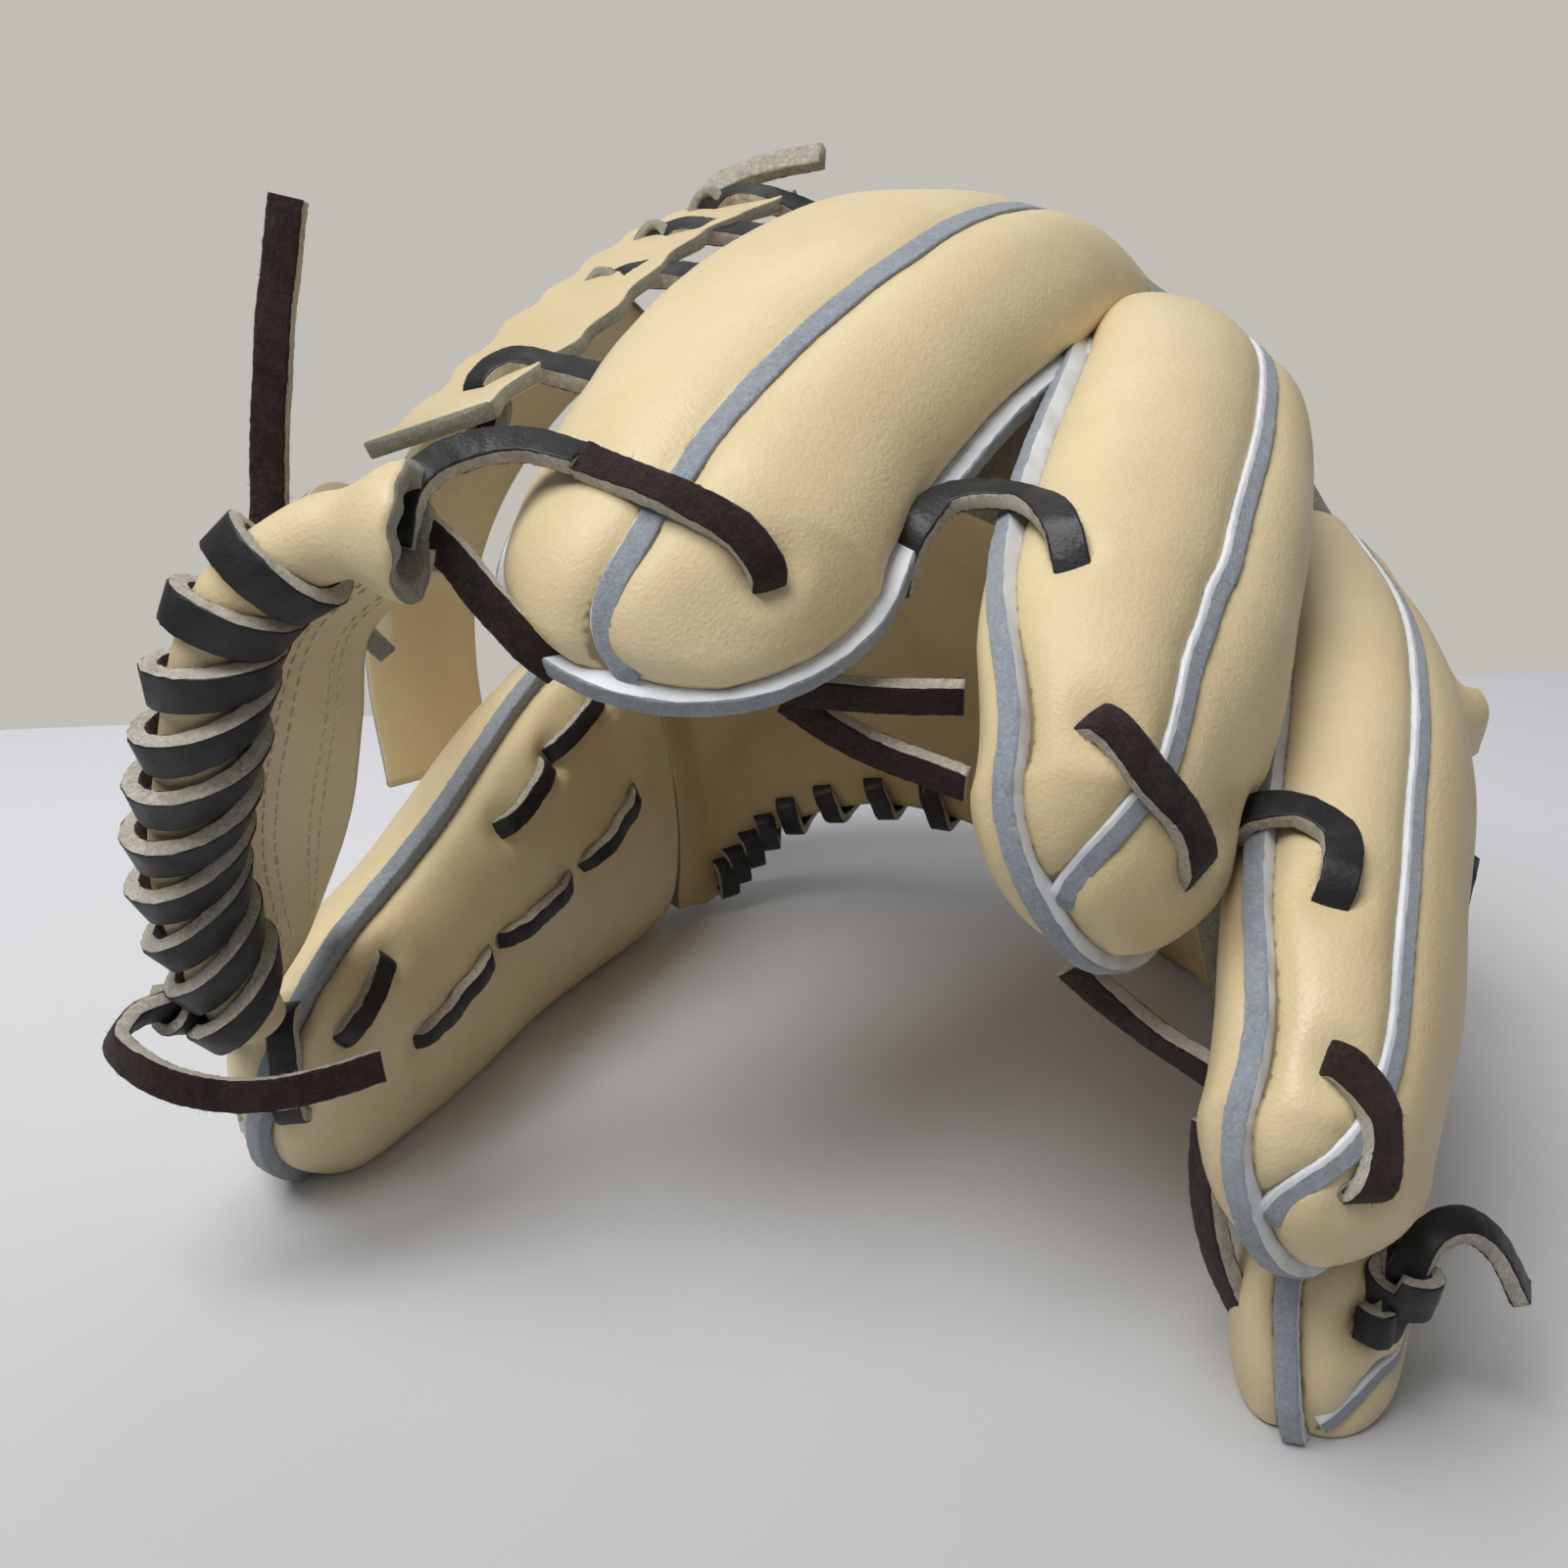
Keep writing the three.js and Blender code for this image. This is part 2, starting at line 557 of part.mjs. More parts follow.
// Samples of the lace wound round the roll
function rollWinding(path) {
  const [from, to] = ROLL_SPAN;
  const steps = ROLL_TURNS * ROLL_SIDES;
  const radius = (ROLL_RADIUS + GAP + 0.4) / Math.cos(Math.PI / ROLL_SIDES) + WINDING_THICK / 2;
  return withAlong(Array.from({ length: steps + 1 }, (_, i) => {
    const t = path.getUtoTmapping(from + ((to - from) * i) / steps);
    const { side, up } = rollFrame(path.getTangent(t));
    const angle = (2 * Math.PI * i) / ROLL_SIDES;
    const face = up.multiplyScalar(Math.cos(angle)).addScaledVector(side, Math.sin(angle));
    return { at: path.getPoint(t).addScaledVector(face, radius), face };
  }));
}

// The heel edge of the palm: a point, the way outwards and the normal at a share of its length
function heelEdge(grid) {
  const middle = offsetGrid(grid, -PALM_THICK / 2);
  const [inside, rim] = middle.slice(-2).map((row) => new THREE.CatmullRomCurve3(row));
  const [from, to] = HEEL_SPAN;
  return (turns) => {
    const share = from + ((to - from) * turns) / HEEL_TURNS;
    const at = rim.getPoint(share);
    const outward = at.clone().sub(inside.getPoint(share)).normalize();
    return { at, outward, normal: rim.getTangent(share).cross(outward).normalize() };
  };
}

// Samples of the lace wound round the heel edge, through a row of holes in the palm
function heelWinding(edge) {
  const perTurn = HEEL_WRAP.length;
  return withAlong(Array.from({ length: HEEL_TURNS * perTurn + 1 }, (_, i) => {
    const { at, outward, normal } = edge(i / perTurn);
    const [away, over] = HEEL_WRAP[i % perTurn];
    const face = outward.clone().multiplyScalar(away + WINDING_THICK).addScaledVector(normal, over);
    return { at: at.addScaledVector(outward, away).addScaledVector(normal, over), face };
  }));
}

function heelHoles(edge) {
  const [a, b, c] = HEEL_HOLE.half;
  return Manifold.union(Array.from({ length: HEEL_TURNS }, (_, i) => {
    const { at, outward, normal } = edge(i + 0.5);
    const side = outward.clone().cross(normal);
    const middle = at.addScaledVector(outward, -HEEL_HOLE.inset);
    const ring = (end) => [[1, 1], [-1, 1], [-1, -1], [1, -1]].map(([i, j]) => middle.clone()
      .addScaledVector(outward, i * a)
      .addScaledVector(side, j * b)
      .addScaledVector(normal, end * c));
    return ringBody([ring(-1), ring(1)]);
  }));
}

// Every piece is cut back from the ones placed before it, so that a clearance is left all round,
// and from what it stands on
const placed = [geometrySolid(new THREE.BoxGeometry(600, 600, 60).translate(0, 0, -30))];
function place(name, body, grownBody, material) {
  let cut = body;
  for (const other of placed) cut = cut.subtract(other);
  const [largest] = cut.simplify(FLATNESS).decompose().sort((a, b) => b.volume() - a.volume());
  if (grownBody) placed.push(grownBody);
  const { vertProperties, triVerts } = largest.getMesh();
  const geometry = new THREE.BufferGeometry();
  geometry.setAttribute("position", new THREE.BufferAttribute(new Float32Array(vertProperties), 3));
  geometry.setIndex(Array.from(triVerts));
  geometry.translate(-CENTRE[0], -CENTRE[1], 0);
  geometry.computeVertexNormals();
  const mesh = new THREE.Mesh(geometry, material);
  mesh.name = name;
  glove.add(mesh);
}

function placeStrip(name, samples, width, thick, material) {
  const room = stripBody(samples, width, thick, GAP);
  place(name, stripBody(samples, width, thick), room, material);
}

function placeSheet(name, grid, thick, cuts = []) {
  let body = sheetBody(grid, thick);
  for (const cut of cuts) body = body.subtract(cut);
  place(name, body, sheetBody(grid, thick, GAP), leather);
}

// Stalls, each a back half and a palm half sewn together at the welt
for (const [name, rows] of Object.entries(FINGERS)) {
  const shell = stallSolid(rows).subtract(stallHollow(rows));
  place(`${name}_stall`, shell.intersect(stallHalf(rows, 1)), null, leather);
  place(`${name}_palm`, shell.intersect(stallHalf(rows, -1)), stallSolid(rows, GAP), leather);
}

// Rolled edge of the web and the lace round it
const roll = new THREE.CatmullRomCurve3(ROLL.map((p) => v3(...p)));
const rollTube = ringBody([...rollRings(roll, 0), ...rollRings(roll, -ROLL_WALL).reverse()], true);
place("web_roll", rollTube, ringBody(rollRings(roll, GAP)), leather);
placeStrip("web_winding_lace", rollWinding(roll), WINDING_WIDTH, WINDING_THICK, lacing);

// Palm, with the lace through the holes along its heel edge
const palmGrid = smoothGrid(PALM, 12, 6);
const edge = heelEdge(palmGrid);
const holes = heelHoles(edge);
placeSheet("palm_panel", palmGrid, -PALM_THICK, [holes]);
placed.push(placed.pop().subtract(holes));
placeStrip("heel_lace", heelWinding(edge), WINDING_WIDTH, WINDING_THICK, lacing);

// Back of the hand
const backGrid = smoothGrid(BACK, 11, 6);
const hole = geometrySolid(new THREE.SphereGeometry(1, 16, 8)
  .scale(...BACK_HOLE.half)
  .rotateX(turn(BACK_HOLE.lean))
  .translate(...BACK_HOLE.at));
placeSheet("hand_back", backGrid, BACK_THICK, [hole]);

// Web
placeSheet("web_skirt", smoothGrid(SKIRT, 8, 2), WEB_THICK);
placeStrip("web_base", stripSamples(WEB_BASE, 8), 28, WEB_THICK, leather);
placeStrip("web_post", stripSamples(WEB_POST, 5), 24, 4, leather);
placeStrip("web_index_band", stripSamples(WEB_INDEX, 8), 20, WEB_THICK, leather);

// Seams and welts
for (const [name, rows] of Object.entries(FINGERS)) {
  placeStrip(`${name}_seam`, seamSamples(rows, SEAM_TURNS[name]), SEAM_WIDTH, SEAM_RISE, welting);
}
for (const [name, rows] of Object.entries(FINGERS)) {
  placeStrip(`${name}_welt`, weltSamples(rows), WELT_WIDTH, WELT_RISE, welting);
}

// Strap across the back of the wrist, sewn over it
const strapGrid = offsetGrid(backGrid, BACK_THICK + SEAT).slice(3, 5).map((row) => row.slice(1, 10));
placeSheet("wrist_strap", strapGrid, STRAP_THICK);
placeStrip("strap_tab", stripSamples(TAB, 6), 12, WEB_THICK, leather);

for (const [name, rows] of Object.entries(LACES)) {
  placeStrip(name, stripSamples(rows, rows.length > 5 ? 8 : 4), LACE_WIDTH, LACE_THICK, lacing);
}

export default glove;
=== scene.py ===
"""The looks of the baseball glove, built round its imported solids. Tables are in millimetres."""
import math

import bmesh
import bpy
import numpy as np
from mathutils import Matrix, Vector, noise


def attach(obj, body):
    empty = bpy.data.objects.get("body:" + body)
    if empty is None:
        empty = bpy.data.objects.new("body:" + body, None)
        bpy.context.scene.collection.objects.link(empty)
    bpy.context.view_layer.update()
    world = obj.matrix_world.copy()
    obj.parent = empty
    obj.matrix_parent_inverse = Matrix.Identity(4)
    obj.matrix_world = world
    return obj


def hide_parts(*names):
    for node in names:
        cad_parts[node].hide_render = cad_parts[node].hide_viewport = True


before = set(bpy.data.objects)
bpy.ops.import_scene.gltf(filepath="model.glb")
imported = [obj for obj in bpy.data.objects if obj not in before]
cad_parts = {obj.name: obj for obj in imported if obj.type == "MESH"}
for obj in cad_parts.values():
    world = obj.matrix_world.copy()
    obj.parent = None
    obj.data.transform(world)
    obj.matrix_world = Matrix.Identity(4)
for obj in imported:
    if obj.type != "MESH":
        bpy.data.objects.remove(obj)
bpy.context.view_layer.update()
rng = np.random.default_rng(7)

MM = 0.001
CENTRE = np.array([5.7, 5.3, 0.0])  # middle of the tables' box, at the origin in the frame

# The sizes and tables of the part's source
TIP_SHARE = 0.42
STALL_WALL = 4.3
BOXINESS = 2.5
BACK_SHARE = 0.58
PALM_THICK = 9.0
BACK_THICK = 4.0
LACE_WIDTH = 6.0

# Camera: the photograph's, in the tables' frame
CAMERA_AT = (-15.0, -330.0, 196.0)
CAMERA_PITCH = 20.0
FOCAL_PX = 1605.0
PHOTO_PX = 1600.0
SENSOR_MM = 36.0


def add_object(name, data):
    obj = bpy.data.objects.new(name, data)
    bpy.context.scene.collection.objects.link(obj)
    return obj


camera_data = bpy.data.cameras.new("camera")
camera_data.sensor_width = SENSOR_MM
camera_data.lens = SENSOR_MM * FOCAL_PX / PHOTO_PX
camera_data.clip_start = 0.01
camera_data.clip_end = 50
camera = add_object("camera", camera_data)
camera.location = (np.array(CAMERA_AT) - CENTRE) * MM
camera.rotation_euler = (math.radians(90 - CAMERA_PITCH), 0, 0)
bpy.context.scene.camera = camera

# Finger stalls, from the tip: x, y, z of the section's middle, width, thickness, lean in degrees
FINGERS = {
    "index": [
        (-30, -92, 124, 58, 32, 2),
        (-30, -73, 137, 63, 36, 2),
        (-24, -57, 150, 65, 38, 8),
        (-11, -33, 164, 68, 38, 13),
        (11, -1, 176, 69, 38, 14),
        (33, 30, 177, 58, 35, 10),
        (51, 56, 168, 50, 32, 5),
    ],
    "middle": [
        (31, -109, 89, 45, 30, 46),
        (34, -97, 101, 53, 34, 46),
        (39, -84, 118, 57, 36, 42),
        (47, -63, 133, 55, 36, 38),
        (57, -37, 147, 53, 35, 38),
        (65, -6, 157, 50, 34, 36),
        (69, 29, 158, 47, 32, 32),
    ],
    "ring": [
        (61, -126, 45, 42, 28, 50),
        (66, -117, 55, 47, 31, 50),
        (73, -101, 72, 49, 33, 52),
        (82, -77, 85, 49, 33, 52),
        (92, -48, 97, 49, 34, 52),
        (100, -14, 105, 47, 33, 50),
        (104, 22, 111, 45, 32, 46),
    ],
    "pinky": [
        (70, -118, 7, 41, 26, 78),
        (74, -107, 10, 45, 28, 76),
        (83, -88, 20, 48, 30, 74),
        (92, -64, 34, 48, 32, 74),
        (102, -38, 47, 48, 32, 74),
        (112, -10, 58, 46, 32, 72),
        (118, 21, 66, 45, 32, 70),
    ],
    "thumb": [
        (-121, -54, 18, 42, 28, -82),
        (-115, -43, 22, 50, 32, -84),
        (-107, -24, 26, 60, 35, -87),
        (-95, 2, 32, 70, 37, -89),
        (-79, 39, 42, 86, 39, -91),
        (-60, 80, 49, 96, 40, -93),
    ],
}

# Palm leather: rows from the finger side to the heel, each from the thumb to the little finger
PALM = [
    [[-52, 76, 94], [-24, 58, 126], [8, 24, 144], [46, -6, 134], [74, -20, 88], [88, -26, 30]],
    [[-46, 88, 64], [-20, 80, 102], [14, 58, 120], [52, 34, 110], [80, 14, 70], [96, 6, 22]],
    [[-43, 98, 36], [-20, 100, 68], [14, 86, 84], [52, 68, 76], [82, 48, 46], [100, 42, 12]],
    [[-42, 104, 5], [-19, 109, 26], [14, 100, 39], [48, 92, 34], [74, 82, 18], [100, 73, 3]],
]

# Back of the hand: lines at the knuckles, across the middle and at the wrist
BACK = [
    [[-84, 66, 30], [-78, 74, 84], [-44, 84, 132], [4, 66, 170], [42, 48, 188], [74, 28, 171],
    [100, 20, 136], [117, 11, 108], [134, 9, 76], [126, 5, 44]],
    [[-76, 104, 22], [-66, 112, 66], [-36, 118, 104], [4, 116, 128], [40, 106, 138], [76, 88, 130],
    [100, 70, 110], [116, 58, 88], [129, 46, 56], [122, 40, 22]],
    [[-58, 124, 5], [-50, 134, 34], [-26, 142, 58], [4, 144, 70], [32, 142, 72], [58, 134, 66],
    [80, 124, 52], [98, 112, 38], [112, 100, 22], [112, 90, 4]],
]

# Opening over the knuckles: an ellipsoid's middle, half sizes and lean in degrees
BACK_HOLE = {"at": (42, 84, 163), "half": (34, 17, 30), "lean": -45}

# First column of the visible palm leather, between its edge and the thumb
PALM_TO_THUMB = [(-58, 66, 92), (-54, 74, 64), (-52, 82, 36), (-52, 92, 8)]

# One turn of the lace round the heel edge: away from the edge, and over its face
HEEL_WRAP = [
    (2.8, 0), (2.4, 6.8), (-2.6, 7.4), (-6.8, 7), (-7.2, 0), (-6.8, -7), (-2.6, -7.4), (2.4, -6.8),
]

# Rolled top edge of the web, from its thumb end
ROLL = [
    [-117, -63, 51], [-120, -73, 84], [-112, -82, 112], [-102, -86, 137], [-87, -87, 148], [-72, -91, 150],
]

# Skirt of the web in rows away from the roll
SKIRT = [
    [[-113, -56, 55], [-114, -64, 84], [-107, -73, 110], [-96, -77, 132], [-84, -79, 141]],
    [[-110, -46, 60], [-106, -55, 86], [-99, -62, 108], [-92, -67, 128], [-78, -70, 139]],
    [[-109, -38, 64], [-98, -47, 88], [-93, -52, 108], [-88, -58, 126], [-72, -62, 138]],
]

# Web straps: rows of x, y, z and the direction the wide face looks in
WEB_BASE = [
    [-105, 58, 58, 5, -9, 1], [-107, 56, 88, 5, -9, 1], [-104, 52, 112, 5, -8, -2],
    [-92, 46, 138, 4, -7, -5], [-72, 40, 160, 2, -5, -8], [-46, 38, 174, 0, -4, -9],
]

WEB_POST = [
    [-110, 44, 124, 8, 0, 6], [-107, 8, 131, 8, 0, 6], [-102, -24, 133, 8, 0, 6], [-95, -52, 128, 8, 0, 6],
]

WEB_INDEX = [
    [-77, -51, 160, -5, -4, 7], [-67, -24, 168, -5, -4, 7], [-54, 3, 180, -5, -3, 8],
    [-41, 30, 190, -5, -2, 8], [-23, 61, 198, -5, -1, 8],
]

# Tab at the end of the wrist strap
TAB = [
    [129, 44, 84, 9, 3, 3], [137, 28, 91, 9, 0, 4], [138, 15, 94, 7, -6, 4],
    [141, 12, 88, 6, -8, 1], [142, 16, 76, 6, -8, -1],
]

# Laces and their free ends: rows of x, y, z and the direction the wide face looks in. A short lace
# on the thumb has only its places, because it lies on the leather.
LACES = {
    "tall_tail": [
        [-105, -74, 134, 0, -9, 3], [-102, -66, 146, 0, -9, 3], [-101, -64, 158, 0, -9, 3],
        [-98, -62, 180, 0, -9, 3], [-95, -59, 198, 0, -9, 3],
    ],
    "web_bridge_lace": [
        [-76, -86, 147, 2, -7, 7], [-73, -83, 156, -1, -6, 7], [-66, -77, 160, 0, -6, 7],
        [-57, -75, 161, 0, -5, 8], [-47, -78, 159, 1, -4, 8],
    ],
    "web_under_lace": [
        [-76, -81, 151, -7, -3, 6], [-69, -80, 145, -7, -3, 6], [-62, -85, 138, -6, -5, 6],
        [-55, -88, 131, -6, -5, 6],
    ],
    "index_tip_lace": [
        [-47, -78, 159, -4, -5, 7], [-44, -80, 158, -2, -6, 8], [-36, -85, 156, 0, -6, 8],
        [-30, -88, 154, -1, -7, 7], [-22, -91, 150, 0, -8, 5], [-18, -92, 145, 1, -9, 4],
        [-18, -88, 141, 3, -9, 2],
    ],
    "index_middle_lace": [
        [5, -72, 142, 0, -5, 9], [7, -72, 147, 0, -5, 9], [12, -68, 151, 0, -3, 9],
        [23, -71, 152, 1, -3, 9], [28, -85, 150, -3, -4, 9], [30, -90, 142, -2, -6, 7],
    ],
    "middle_tip_lace": [
        [29, -109, 125, 1, -7, 7], [32, -113, 126, 1, -7, 7], [38, -116, 119, 4, -9, 2],
        [44, -114, 112, 6, -7, 2], [47, -112, 105, 5, -8, 0], [47, -105, 99, 6, -7, -1],
    ],
    "middle_ring_lace": [
        [61, -91, 104, 0, -5, 9], [68, -93, 105, 1, -4, 9], [73, -98, 103, 0, -4, 9],
        [71, -106, 99, -1, -6, 8], [69, -107, 92, -1, -6, 8],
    ],
    "ring_tip_lace": [
        [65, -125, 78, 0, -8, 5], [67, -129, 79, 0, -8, 5], [71, -132, 74, 4, -8, 3],
        [72, -133, 68, 4, -8, 4], [71, -135, 63, 2, -9, 1], [69, -131, 59, 3, -9, -2],
    ],
    "palm_lace_upper": [[-17, -78, 122, 1, -9, -4], [-4, -77, 120, 0, -9, -4], [15, -79, 120, -1, -9, -4]],
    "palm_lace_lower": [[-15, -71, 118, 1, -9, -4], [-3, -74, 111, 0, -9, -4], [16, -80, 105, -1, -9, -4]],
    "palm_lace_ring_lower": [
        [33, -94, 78, 0, -8, -6], [44, -97, 69, -2, -8, -6], [56, -104, 63, -4, -8, -4],
    ],
    "palm_lace_pinky": [
        [56, -103, 53, -8, -5, -2], [56, -105, 42, -9, -4, -1], [59, -106, 29, -9, -4, 0],
        [65, -106, 16, -9, -3, 1],
    ],
    "thumb_tail": [
        [-128, -46, 39, -9, -3, 4], [-125, -60, 52, -9, -4, 3], [-128, -68, 57, -9, -4, 5],
        [-133, -75, 58, -9, -4, 4], [-134.6, -81, 56, -5, -8, 1], [-126, -85, 51, -1, -9, 3],
        [-113, -84, 47, 0, -9, 3], [-99, -80, 47, 1, -9, 3], [-89, -75, 48, 1, -9, 3],
    ],
    "thumb_tip_lace": [
        [-114, -50, 46, -1, -7, 7], [-114, -55, 46, -1, -7, 7], [-113, -58, 38, -1, -9, 3],
        [-113, -59, 28, 0, -9, -1], [-113, -54, 25, 1, -9, -2],
    ],
    "thumb_dash_a": [(-101, -48, 42), (-99, -43, 45), (-98, -38, 48)],
    "thumb_dash_b": [(-90, -28, 29), (-86, -20, 33), (-82, -11, 36)],
    "thumb_dash_c": [(-76, 0, 39), (-72, 10, 40), (-67, 21, 41)],
    "thumb_dash_d": [(-61, 33, 44), (-57, 42, 48), (-53, 51, 52)],
    "thumb_dash_e": [(-76, 5, 66), (-73, 12, 69), (-71, 18, 72)],
    "thumb_dash_f": [(-67, 27, 76), (-64, 35, 79), (-61, 43, 81)],
    "pinky_edge_lace": [
        [83, -118, 23, 3, -9, 1], [87, -111, 33, 3, -7, 6], [99, -82, 29, 6, -7, 2],
        [101, -73, 38, 7, -6, 2], [106, -65, 48, 7, -6, 3],
    ],
    "pinky_back_tail": [
        [109, -53, 45, 6, -7, 2], [114, -46, 54, 6, -7, 2], [120, -40, 62, 6, -7, 2],
        [124, -34, 73, 6, -7, 2],
    ],
    "pinky_tail": [
        [82, -120, 25, 3, -9, 1], [86, -114, 24, 2, -9, 3], [87, -115, 32, -2, -7, 7],
        [91, -113, 38, -5, -4, 8], [97, -111, 39, 0, -3, 9], [103, -110, 35, 6, -3, 7],
        [109, -111, 25, 9, -4, 1],
    ],
    "web_loop_a": [
        [-44, -34, 165, 2, -5, 8], [-57, -35, 169, 0, -3, 9], [-65, -35, 170, -2, -3, 9],
        [-70, -37, 166, -7, -5, 5], [-68, -38, 161, -7, -7, 2],
    ],
    "web_loop_b": [
        [-22, 4, 180, 2, -5, 8], [-38, 4, 184, 0, -3, 9], [-47, 6, 183, -2, -3, 9],
        [-52, 7, 179, -7, -5, 5],
    ],
    "web_loop_c": [
        [-12, 28, 188, 2, -5, 8], [-30, 28, 192, 0, -3, 9], [-38, 30, 192, -2, -3, 9],
        [-43, 31, 188, -7, -5, 5],
    ],
    "web_loop_d": [
        [-4, 48, 192, 2, -5, 8], [-20, 50, 199, 0, -3, 9], [-27, 52, 199, -2, -3, 9],
        [-32, 53, 195, -7, -5, 5],
    ],
    "far_tail": [
        [-36, 58, 194, -3, -6, 7], [-29, 62, 202, -2, -6, 7], [-17, 61, 206, -1, -7, 7],
        [-6, 58, 208, 0, -7, 7],
    ],
    "tab_lace": [[136, 22, 75, 7, -7, 3], [138, 19, 80, 7, -7, 3], [141, 13, 80, 7, -7, 3]],
}


def unit(v):
    return v / np.maximum(np.linalg.norm(v, axis=-1, keepdims=True), 1e-9)


def bump(x, width):
    return np.exp(-((x / width) ** 2))


def smooth_step(x, low, high):
    t = np.clip((x - low) / (high - low), 0, 1)
    return t * t * (3 - 2 * t)


def lumps(points, size, seed=0.0):
    """Smooth noise from -1 to 1 at points in millimetres, its lumps about size across"""
    flat = np.asarray(points, float).reshape(-1, 3) / size + seed
    values = np.array([noise.noise(Vector(p)) for p in flat])
    return values.reshape(np.shape(points)[:-1])


def arc_lengths(points):
    steps = np.linalg.norm(np.diff(points, axis=0), axis=1)
    return np.concatenate([[0], np.cumsum(steps)])


def section_rings(at, side, out, section, size=1.0):
    """A ring of the section at each of the points at, its own axes turned to side and out"""
    across = side[:, None] * section[None, :, :1] * size
    return at[:, None] + across + out[:, None] * section[None, :, 1:] * size


class Path:
    """A smooth line through points, the same curve as in the part's source"""

    def __init__(self, points):
        p = np.asarray(points, float)
        self.p = np.vstack([2 * p[0] - p[1], p, 2 * p[-1] - p[-2]])
        self.spans = len(p) - 1
        self.t = np.linspace(0, 1, 600)
        self.arc = arc_lengths(self.at(self.t)[:, :3])
        self.length = self.arc[-1]

    def at(self, t):
        t = np.asarray(t, float)
        s = np.clip(t, 0, 1) * self.spans
        i = np.minimum(s.astype(int), self.spans - 1)
        w = (s - i)[..., None]
        p0, p1, p2, p3 = (self.p[i + k] for k in range(4))
        gap = lambda a, b: np.maximum(np.sum((b - a) ** 2, axis=-1, keepdims=True), 1e-8) ** 0.25
        d0, d1, d2 = gap(p0, p1), gap(p1, p2), gap(p2, p3)
        m1 = ((p1 - p0) / d0 - (p2 - p0) / (d0 + d1) + (p2 - p1) / d1) * d1
        m2 = ((p2 - p1) / d1 - (p3 - p1) / (d1 + d2) + (p3 - p2) / d2) * d1
        return (p1 + m1 * w + (3 * (p2 - p1) - 2 * m1 - m2) * w**2
                + (2 * (p1 - p2) + m1 + m2) * w**3)

    def even(self, share):
        """The parameter at a share of the length"""
        return np.interp(np.asarray(share, float) * self.length, self.arc, self.t)

    def way(self, t):
        t = np.asarray(t, float)
        return unit(self.at(np.minimum(t + 1e-4, 1)) - self.at(np.maximum(t - 1e-4, 0)))


def grid_normals(points):
    """Normals of a grid of points, rows first"""
    down = np.gradient(points, axis=0)
    return unit(np.cross(np.gradient(points, axis=1), down))


# Making objects

TABLE_SEAT = 0.02  # nothing lies lower over the table
FIBRE_HALF = 0.05  # half the thickness of a loose fibre


def build(name, verts, faces, materials, picks=None, lay=None, replaces=()):
    """A mesh from millimetres in the tables' frame. lay holds three lengths for the materials."""
    mesh = bpy.data.meshes.new(name)
    verts = np.array(verts, float)
    verts[:, 2] = np.maximum(verts[:, 2], TABLE_SEAT)
    mesh.from_pydata(((verts - CENTRE) * MM).tolist(), [], faces)
    for material in materials:
        mesh.materials.append(material)
    if picks is not None:
        mesh.polygons.foreach_set("material_index", np.asarray(picks, np.int32))
    mesh.polygons.foreach_set("use_smooth", np.ones(len(mesh.polygons), bool))
    if lay is not None:
        attribute = mesh.attributes.new("lay", "FLOAT_VECTOR", "POINT")
        attribute.data.foreach_set("vector", np.asarray(lay, np.float32).ravel())
    mesh.validate()
    mesh.update()
    obj = add_object(name, mesh)
    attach(obj, "root")
    if replaces:
        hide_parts(*replaces)
    return obj


def tube_faces(rows, cols):
    """Quads of rows of closed rings"""
    r, c = np.meshgrid(np.arange(rows - 1), np.arange(cols), indexing="ij")
    a = r * cols + c
    b = r * cols + (c + 1) % cols
    return np.stack([a, b, b + cols, a + cols], axis=-1).reshape(-1, 4)


def ring_body(rings):
    """Points and faces of closed rings of equal size, with fans at both ends"""
    rings = np.asarray(rings, float)
    rows, cols, _ = rings.shape
    verts = rings.reshape(-1, 3)
    faces = [tuple(map(int, q)) for q in tube_faces(rows, cols)]
    verts = np.vstack([verts, rings[0].mean(0), rings[-1].mean(0)])
    for k in range(cols):
        n = (k + 1) % cols
        faces.append((rows * cols, n, k))
        faces.append((rows * cols + 1, (rows - 1) * cols + k, (rows - 1) * cols + n))
    return verts, faces


def sheet_body(top, under):
    """Points and faces of a sheet between two grids of points, with its edges closed.
    Faces come in the order top, under, edges."""
    rows, cols, _ = top.shape
    n = rows * cols
    r, c = np.meshgrid(np.arange(rows - 1), np.arange(cols - 1), indexing="ij")
    a = r * cols + c
    quads = np.stack([a, a + 1, a + cols + 1, a + cols], axis=-1).reshape(-1, 4)
    rim = ([(0, k) for k in range(cols)] + [(k, cols - 1) for k in range(1, rows)]
           + [(rows - 1, k) for k in range(cols - 2, -1, -1)] + [(k, 0) for k in range(rows - 2, 0, -1)])
    ids = [i * cols + j for i, j in rim]
    edges = [(ids[k], n + ids[k], n + ids[(k + 1) % len(ids)], ids[(k + 1) % len(ids)])
             for k in range(len(ids))]
    faces = [tuple(map(int, q)) for q in quads]
    faces += [tuple(map(int, q[::-1] + n)) for q in quads]
    return np.vstack([top.reshape(-1, 3), under.reshape(-1, 3)]), faces + edges, len(quads)


